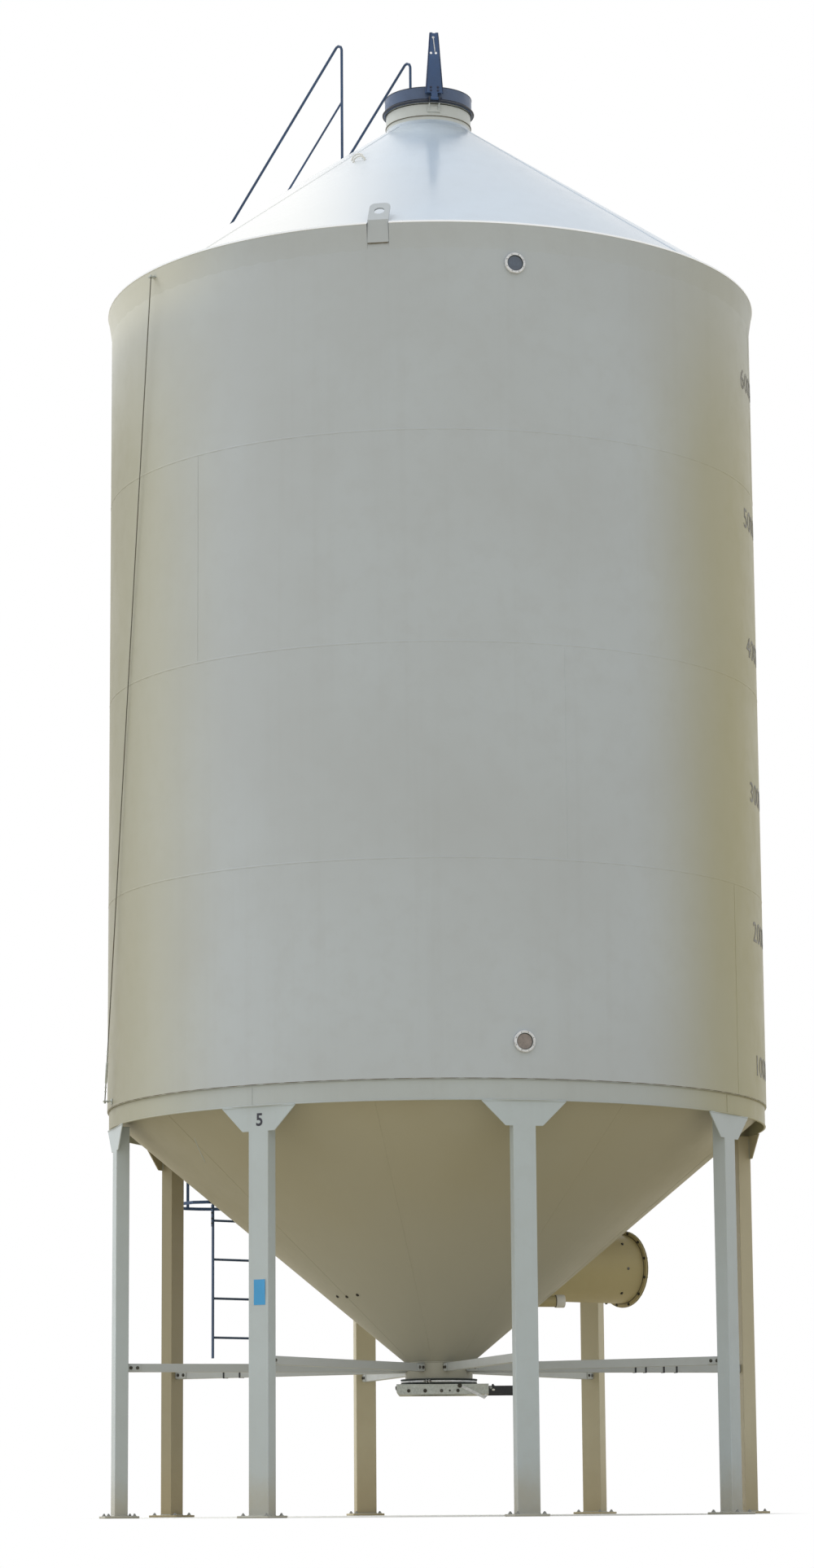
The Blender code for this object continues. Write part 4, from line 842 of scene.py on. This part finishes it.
# Hopper, duct and sample port
def build_hopper_details():
    bm = bmesh.new()
    for azimuth in LEG_AZ:
        low, high = ((r, hopper_z(r) + 0.0006) for r in (0.262, 2.405))
        seam(bm, azimuth + 20.0, low, high, 0.0018, 0.03, 6, 0.1)
    bead(bm, circle(0.248, 1.1035, 96), 0.0046, 6, True, 0.14)
    bead(bm, circle(2.414, 2.899), 0.0042, 6, True, 0.1)
    piece("hopper_seams", bm, CONE)

    bm = bmesh.new()
    slope = math.atan(HOPPER_TAN)
    for azimuth, r in ((-64.2, 0.815), (-55.5, 0.806), (-46.0, 0.814)):
        normal = radial(azimuth) * math.sin(slope) - UP * math.cos(slope)
        bolt(bm, at(azimuth, r, hopper_z(r)), normal, 0.018, 0.007)
    piece("hopper_plug_bolts", bm, BOLT_DARK, 40.0)

    # Raised run on the hopper in paler paint: partly a painted highlight of a glossy streak
    bm = bmesh.new()
    path = []
    for k in range(12):
        t = k / 11.0
        r = 2.119 - 0.185 * t
        path.append(at(-54.6 - 4.8 * t, r, hopper_z(r) + 0.0026))
    bead(bm, path, 0.005, 8, False, 0.2)
    piece("hopper_highlight_run", bm, RING)


def build_duct_details():
    out = radial(DUCT_AZ)
    weld = bmesh.new()
    bead(weld, hoop(DUCT_AZ, on_cone(0.002), DUCT_Z, DUCT_R + 0.001, 96), 0.006, 6, True, 0.14)
    bead(weld, hoop(SAMPLE_AZ, on_cone(0.001), SAMPLE_Z, 0.0425, 32), 0.0035, 6, True, 0.14)
    piece("duct_root_welds", weld, DUCT)

    # The ring of bolts on the pipe stops where the hopper cuts across it
    bolts = bmesh.new()
    bolt_ring = 1.6
    for k in range(8):
        a = math.radians(2.5 + 45.0 * k)
        normal = tangent(DUCT_AZ) * math.cos(a) + UP * math.sin(a)
        root = (DUCT_Z + DUCT_R * math.sin(a) - HOPPER_APEX) / HOPPER_TAN
        if root < bolt_ring - 0.03:
            bolt(bolts, at(DUCT_AZ, bolt_ring, DUCT_Z) + normal * DUCT_R, normal)
    for spot in hoop(DUCT_AZ, DUCT_END, DUCT_Z, 0.2765, 12, start=0.5):
        bolt(bolts, spot + out * COVER_T, out, 0.015, 0.0055)
        bolt(bolts, spot - out * 0.01, -out, 0.015, 0.0085)
    piece("duct_bolts", bolts, BOLT_DARK, 40.0)

    seal = bmesh.new()
    for offset, r, thick in ((-0.0115, DUCT_R + 0.0012, 0.003), (0.0002, 0.2895, 0.0016)):
        bead(seal, hoop(DUCT_AZ, DUCT_END + offset, DUCT_Z, r, 72), thick, 6, True, 0.08)
    bead(seal, hoop(SAMPLE_AZ, SAMPLE_END - 0.0025, SAMPLE_Z, 0.0435, 28), 0.0036, 6, True, 0.05)
    piece("duct_joint_seals", seal, SEAL)

    grip = bmesh.new()
    face = DUCT_END + COVER_T
    bead(grip, [at(DUCT_AZ, face + dr, DUCT_Z, x) for dr, x in (
        (-0.001, -0.075), (0.03, -0.072), (0.04, -0.06), (0.042, 0.0), (0.04, 0.06), (0.03, 0.072),
        (-0.001, 0.075))], 0.0065, 10, False, 0.0)
    turned(grip, at(DUCT_AZ, face, DUCT_Z), out, [(0.205, -0.001), (0.204, 0.003), (0.198, 0.0042)], 64)
    piece("duct_cover_grip", grip, DUCT)

    cap = bmesh.new()
    turned(cap, at(SAMPLE_AZ, SAMPLE_END, SAMPLE_Z), radial(SAMPLE_AZ),
           [(0.047, 0.0), (0.0478, 0.004), (0.0478, 0.058), (0.045, 0.0655), (0.03, 0.0665)], 32)
    piece("sample_port_cap", cap, PALE)


# Outlet and gate
def build_outlet_details():
    band, screw, lips = meshes(3)
    band_z = 0.9645
    ring_piece(band, [(0.2705, 0.9575), (0.2782, 0.958), (0.279, 0.96), (0.279, 0.969),
                      (0.2782, 0.971), (0.2705, 0.9715)], 96)
    clamp_az = math.degrees(math.asin(-0.078 / 0.279))
    side = tangent(clamp_az)
    for s in (-1, 1):
        block(band, clamp_az, (0.2905, band_z, s * 0.011), (0.0135, 0.0022, 0.011), 0.001)
    piece("outlet_band_clamp", band, ZINC_PALE)
    turned(screw, at(clamp_az, 0.296, band_z, -0.03), side, [(0.0035, 0.0), (0.0035, 0.06)], 10)
    for s in (-1, 1):
        bolt(screw, at(clamp_az, 0.296, band_z, s * 0.0132), side * s, 0.013, 0.006, False)
    for z in (0.979, 0.9508):
        bead(lips, circle(0.2775, z, 96), 0.005, 8, True, 0.04)
    piece("gasket_lips", lips, GASKET)

    def gate_at(x, y, z):
        return Vector((x, AXIS_Y + y, z))

    flange_z = 0.896
    for x, head in ((-0.222, 0.017), (-0.102, 0.019), (0.017, 0.017), (0.077, 0.01), (0.136, 0.017),
                    (0.232, 0.01)):
        bolt(screw, gate_at(x, -GATE_Y, flange_z), FRONT, head)
        bolt(screw, gate_at(x, GATE_Y, flange_z), -FRONT, head)
    for y in (-0.19, -0.07, 0.07, 0.19):
        bolt(screw, gate_at(-0.311, y, 0.922), -RIGHT)
    bolt(screw, gate_at(0.15, -GATE_Y - 0.0053, 0.932), FRONT, 0.022, 0.012)
    piece("gate_bolts", screw, BOLT_DARK, 40.0)

    plug = bmesh.new()
    skin(plug, [[gate_at(0.394 + grow * 0.0105 * c, -RAIL_Y - depth, 0.9 + grow * 0.0075 * s)
                 for c, s in wheel(20)] for depth, grow in ((0.0, 1.0), (0.0018, 1.0), (0.0026, 0.8))])
    piece("rail_pin_cap", plug, PALE)

    rails, pull = meshes(2)
    for x in (0.375, 0.676):
        for s in (-1, 1):
            bolt(rails, gate_at(x, s * RAIL_Y, 0.915), FRONT * -s, 0.014)
    for y in (-0.16, 0.0, 0.16):
        bolt(rails, gate_at(0.69, y, 0.886), RIGHT, 0.014)
    piece("gate_rail_bolts", rails, BOLT, 40.0)
    for y in (-0.075, 0.075):
        bolt(pull, gate_at(0.3994, y, 0.932), RIGHT, 0.012)
    piece("gate_pull_bolts", pull, BOLT, 40.0, "gate")


# Lid and lever
def build_lid_details():
    rim, crown, fit, rod, edge, nuts, foot = meshes(7)
    bead(rim, circle(0.3478, COLLAR_TOP - 0.009, 128), 0.0085, 10, True, 0.02)
    bead(rim, circle(0.335, COLLAR_TOP + 0.1068, 128), 0.0032, 8, True, 0.02)
    bead(rim, circle(0.3366, COLLAR_TOP + 0.01, 128), 0.0028, 6, True, 0.1)
    piece("lid_rim_roll", rim, LID_DARK, body="lid")

    turned(crown, Vector((0.0, AXIS_Y, COLLAR_TOP + 0.11)), UP,
           [(0.312, -0.001), (0.309, 0.003), (0.292, 0.005), (0.27, 0.0052), (0.262, 0.003),
            (0.15, 0.0075), (0.06, 0.0105), (0.012, 0.011)], 96)
    piece("lid_crown", crown, LID, body="lid")

    out = radial(HINGE_AZ)
    face = HINGE_R + 0.0022
    for x in (-0.02728, 0.02728):
        for z in (COLLAR_TOP + 0.062, COLLAR_TOP + 0.088):
            bolt(fit, at(HINGE_AZ, face, z, x), out, 0.013)
    piece("lever_bolts", fit, LEVER_DARK, 40.0, "lid")

    top = COLLAR_TOP + 0.53
    r = HINGE_R + 0.008
    bead(rod, [at(HINGE_AZ, *place) for place in (
        (HINGE_R - 0.004, top - 0.04, -0.006), (r, top - 0.04, -0.006), (r, top - 0.052, -0.006),
        (r, top - 0.14, 0.004), (r - 0.002, top - 0.16, 0.006))], 0.0042, 8, False, 0.0)
    for z, x in ((top - 0.04, -0.006), (top - 0.166, -0.024), (top - 0.166, 0.014)):
        bead(rod, hoop(HINGE_AZ, face, z, 0.0088, 20, x), 0.0018, 6, True, 0.02)
    piece("lever_rod", rod, ZINC_PALE, body="lid")

    r = HINGE_R + 0.0035
    for s in (-1, 1):
        seam(edge, HINGE_AZ, (r, COLLAR_TOP + 0.047, s * 0.0655), (r, top - 0.002, s * 0.0306),
             0.0034, 0.03, 6, 0.03)
    piece("lever_edge_rolls", edge, LEVER_DARK, body="lid")

    for s in (-1, 1):
        bolt(nuts, at(HINGE_AZ, HINGE_R, COLLAR_TOP, s * 0.05), tangent(HINGE_AZ) * s, 0.015, 0.008)
    piece("hinge_nuts", nuts, LEVER_DARK, 40.0)

    for x in (-0.038, 0.038):
        bolt(foot, at(HINGE_AZ, COLLAR_R + 0.01, COLLAR_TOP - 0.072, x), out, 0.013)
    piece("hinge_foot_bolts", foot, COLLAR, 40.0)


# Ladder, cage and railings
def roof_seat(r, x, lift):
    """Centre on the roof beside the ladder's line, with the ways downhill, across and out."""
    centre = at(LADDER_AZ, r, roof_z(math.hypot(r, x)) + lift, x)
    flat = Vector((centre.x, centre.y - AXIS_Y, 0.0)).normalized()
    normal = (UP * math.cos(ROOF_SLOPE) + flat * math.sin(ROOF_SLOPE)).normalized()
    across = UP.cross(flat).normalized()
    return centre, across.cross(normal).normalized(), across, normal


def build_ladder_details():
    az = LADDER_AZ
    out = radial(az)
    side = tangent(az)
    welds = bmesh.new()
    rung_r = 0.0108
    z = RUNG_LOW
    while z < LADDER_TOP - 0.05:
        for x in (0.0046 - RAIL_X, RAIL_X - 0.0046):
            bead(welds, [at(az, LADDER_R + rung_r * c, z + rung_r * up, x) for c, up in wheel(10)],
                 0.0022, 5, True, 0.15)
        z += RUNG_STEP
    piece("ladder_rung_welds", welds, WELD_NAVY)

    splice, bolts = meshes(2)
    for mid in (2.335, 5.34):
        for s in (-1, 1):
            block(splice, az, (LADDER_R, mid, s * (RAIL_X + 0.0067)), (0.013, 0.0025, 0.085), 0.0008)
            for dz in (-0.06, -0.022, 0.022, 0.06):
                bolt(bolts, at(az, LADDER_R, mid + dz, s * (RAIL_X + 0.0092)), side * s, 0.012)
    for i in range(4):
        z = TIE_LOW + i * (TIE_HIGH - TIE_LOW) / 3.0
        for s in (-1, 1):
            block(splice, az, (2.4318, z, s * 0.233), (0.0028, 0.03, 0.036), 0.001)
            bolt(bolts, at(az, 2.4346, z, s * 0.25), out, 0.012)
            bolt(bolts, at(az, LADDER_R, z, s * (RAIL_X + 0.0042)), side * s, 0.012)
    centre_r = LADDER_R + 0.014 + 0.0033 + (0.7 - CAGE_R)
    for i in range(7):
        z = HOOP_LOW + i * HOOP_PITCH
        for angle in (45.0, 90.0, 135.0):
            a = math.radians(angle)
            direction = side * (-math.cos(a)) + out * math.sin(a)
            bolt(bolts, at(az, centre_r, z) + direction * (CAGE_R + 0.0031), direction, 0.011)
        for s in (-1, 1):
            bolt(bolts, at(az, centre_r - 0.1, z, s * (CAGE_R + 0.0031)), side * s, 0.011)
            bolt(bolts, at(az, LADDER_R + 0.0204, z, s * 0.244), out, 0.011)
    piece("ladder_splices", splice, NAVY, 40.0)
    piece("ladder_bolts", bolts, BOLT_DARK, 40.0)

    feet, nuts = meshes(2)
    for s in (-1, 1):
        for r in (0.682, 2.3):
            centre, fall, across, normal = roof_seat(r, s * 0.336, 0.003)
            plate(feet, centre + normal * 0.0005, fall, across, normal, (0.044, 0.036, 0.0025), 0.001)
            for df in (-0.032, 0.032):
                for da in (-0.024, 0.024):
                    bolt(nuts, centre + normal * 0.003 + fall * df + across * da, normal, 0.012)
            bead(feet, [centre + normal * 0.006 + (fall * c + across * up) * 0.0118 for c, up in wheel(16)],
                 0.0028, 6, True, 0.15)
    low_r = BODY_R - 0.0984
    length = (low_r - (COLLAR_R + 0.2925)) / math.cos(ROOF_SLOPE)
    for y in (0.1, length / 2.0, length - 0.1):
        for x in (-RAIL_X, RAIL_X):
            centre, fall, across, normal = roof_seat(low_r - y * math.cos(ROOF_SLOPE), x, 0.0022)
            plate(feet, centre + normal * 0.0004, fall, across, normal, (0.036, 0.028, 0.0025), 0.001)
            for da in (-0.018, 0.018):
                bolt(nuts, centre + normal * 0.0029 + across * da + fall * 0.02, normal, 0.011)
    piece("roof_foot_plates", feet, NAVY, 40.0)
    piece("roof_foot_bolts", nuts, BOLT_DARK, 40.0)


def build_cable_details():
    bm = bmesh.new()
    for (azimuth, z), way in ((CABLE_TOP, 1), (CABLE_FOOT, -1)):
        for x in (-0.012, 0.012):
            bolt(bm, at(azimuth, BODY_R + 0.03, z + way * 0.0092, x), UP * way, 0.008, 0.004)
        turned(bm, at(azimuth, CABLE_R, z + way * 0.008), UP * way,
               [(0.0075, 0.0), (0.0075, 0.01), (0.006, 0.013)], 12)
        block(bm, azimuth, (BODY_R + 0.003, z + way * 0.006, 0.0), (0.0022, 0.024, 0.02), 0.0008)
    foot, top = (at(azimuth, CABLE_R, z) for azimuth, z in (CABLE_FOOT, CABLE_TOP))
    along = (top - foot).normalized()
    collar = [(0.0052, 0.0), (0.007, 0.002), (0.007, 0.01), (0.0052, 0.012)]
    sleeve = [(0.005, 0.0), (0.0085, 0.012), (0.0085, 0.15), (0.005, 0.162)]
    for d in (0.06, 0.09, 0.32, 0.35):
        turned(bm, foot + along * d, along, collar, 10)
    turned(bm, foot + along * 0.12, along, sleeve, 12)
    piece("cable_fittings", bm, ZINC, 40.0)


# The order stays: the pieces share one run of random draws
for build in (build_wall_details, build_roof_details, build_lug_details, build_ports, build_markings,
              build_leg_details, build_hopper_details, build_duct_details, build_outlet_details,
              build_lid_details, build_ladder_details, build_cable_details):
    build()


# Floor, light and camera
WHITE = (1.0, 1.0, 1.0, 1.0)


def rays(tree, *kinds):
    """1 for any of the named kinds of ray, else 0."""
    path = add_node(tree, "LightPath")
    total = path.outputs["Is %s Ray" % kinds[0]]
    for kind in kinds[1:]:
        total = add_node(tree, "Math", {0: total, 1: path.outputs["Is %s Ray" % kind]},
                         operation='MAXIMUM').outputs[0]
    return total


def build_floor():
    """Pale ground that takes the bin's shadow and fades to plain white away from it."""
    mat = bpy.data.materials.new("floor_pale")
    mat.use_nodes = True
    tree = mat.node_tree
    tree.nodes.clear()
    ground = add_node(tree, "BsdfDiffuse", {"Color": rgb(196, 188, 168)})
    pale = add_node(tree, "BsdfDiffuse", {"Color": rgb(238, 238, 236)})
    white = add_node(tree, "Emission", {"Color": WHITE})
    coord = add_node(tree, "TexCoord").outputs["Object"]
    away = add_node(tree, "VectorMath", {0: coord, 1: (0.0, AXIS_Y, 0.0)}, operation='DISTANCE')
    fade = add_node(tree, "MapRange", {0: away.outputs["Value"], 1: 2.2, 2: 2.8},
                    interpolation_type='SMOOTHSTEP')
    seen = add_node(tree, "MixShader", {0: fade.outputs[0], 1: pale.outputs[0], 2: white.outputs[0]})
    pick = add_node(tree, "MixShader", {0: rays(tree, "Camera", "Transmission"), 1: ground.outputs[0],
                                        2: seen.outputs[0]})
    add_node(tree, "OutputMaterial", {"Surface": pick.outputs[0]})
    bm = bmesh.new()
    skin(bm, [circle(r, -0.0002, 96) for r in (3.0, 12.0, 60.0, 260.0)], (0,))
    as_object("floor", bm, mat)


def build_light():
    """Soft sky, brighter above and on the left, plus a wide key lamp; the camera sees white."""
    world = bpy.data.worlds.new("studio")
    SCENE.world = world
    world.use_nodes = True
    tree = world.node_tree
    tree.nodes.clear()
    coord = add_node(tree, "TexCoord").outputs["Generated"]
    way = add_node(tree, "SeparateXYZ", {0: coord}).outputs
    ramp = add_node(tree, "ValToRGB", {0: way[2]})
    stops = ramp.color_ramp.elements
    stops[0].color = (0.6, 0.6, 0.56, 1.0)
    stops[1].position = 0.85
    stops[1].color = (0.97, 0.985, 1.0, 1.0)
    stops.new(0.3).color = (0.82, 0.84, 0.85, 1.0)
    across = add_node(tree, "MapRange", {0: way[0], 1: -1.0, 2: 1.0, 3: 1.07, 4: 0.77})
    soft = add_node(tree, "Background", {"Color": ramp.outputs[0], "Strength": across.outputs[0]})
    white = add_node(tree, "Background", {"Color": WHITE})
    mix = add_node(tree, "MixShader", {0: rays(tree, "Camera", "Transmission", "Glossy"),
                                       1: soft.outputs[0], 2: white.outputs[0]})
    add_node(tree, "OutputWorld", {"Surface": mix.outputs[0]})

    key = bpy.data.lights.new("key", 'SUN')
    key.energy = 1.85
    key.angle = math.radians(40.0)
    key.color = (1.0, 0.995, 0.98)
    lamp = bpy.data.objects.new("key", key)
    SCENE.collection.objects.link(lamp)
    lamp.visible_glossy = False
    toward = Vector((-0.53, 0.28, 0.78)).normalized()
    lamp.rotation_mode = 'QUATERNION'
    lamp.rotation_quaternion = toward.to_track_quat('Z', 'Y')
    lamp.location = toward * 30.0


def build_camera():
    """The camera fitted to the photograph."""
    data = bpy.data.cameras.new("camera")
    data.lens = 91.45
    data.clip_start = 0.5
    data.clip_end = 900.0
    cam = bpy.data.objects.new("camera", data)
    SCENE.collection.objects.link(cam)
    yaw, pitch, roll = (math.radians(angle) for angle in (0.1428, 10.2328, -0.4182))
    turn = (Matrix.Rotation(yaw, 4, 'Z') @ Matrix.Rotation(math.pi / 2.0 + pitch, 4, 'X')
            @ Matrix.Rotation(roll, 4, 'Z'))
    cam.matrix_world = Matrix.Translation((-0.1291, -29.5172 + AXIS_Y, 0.094)) @ turn
    SCENE.camera = cam


build_floor()
build_light()
build_camera()
SCENE.view_settings.view_transform = 'Standard'
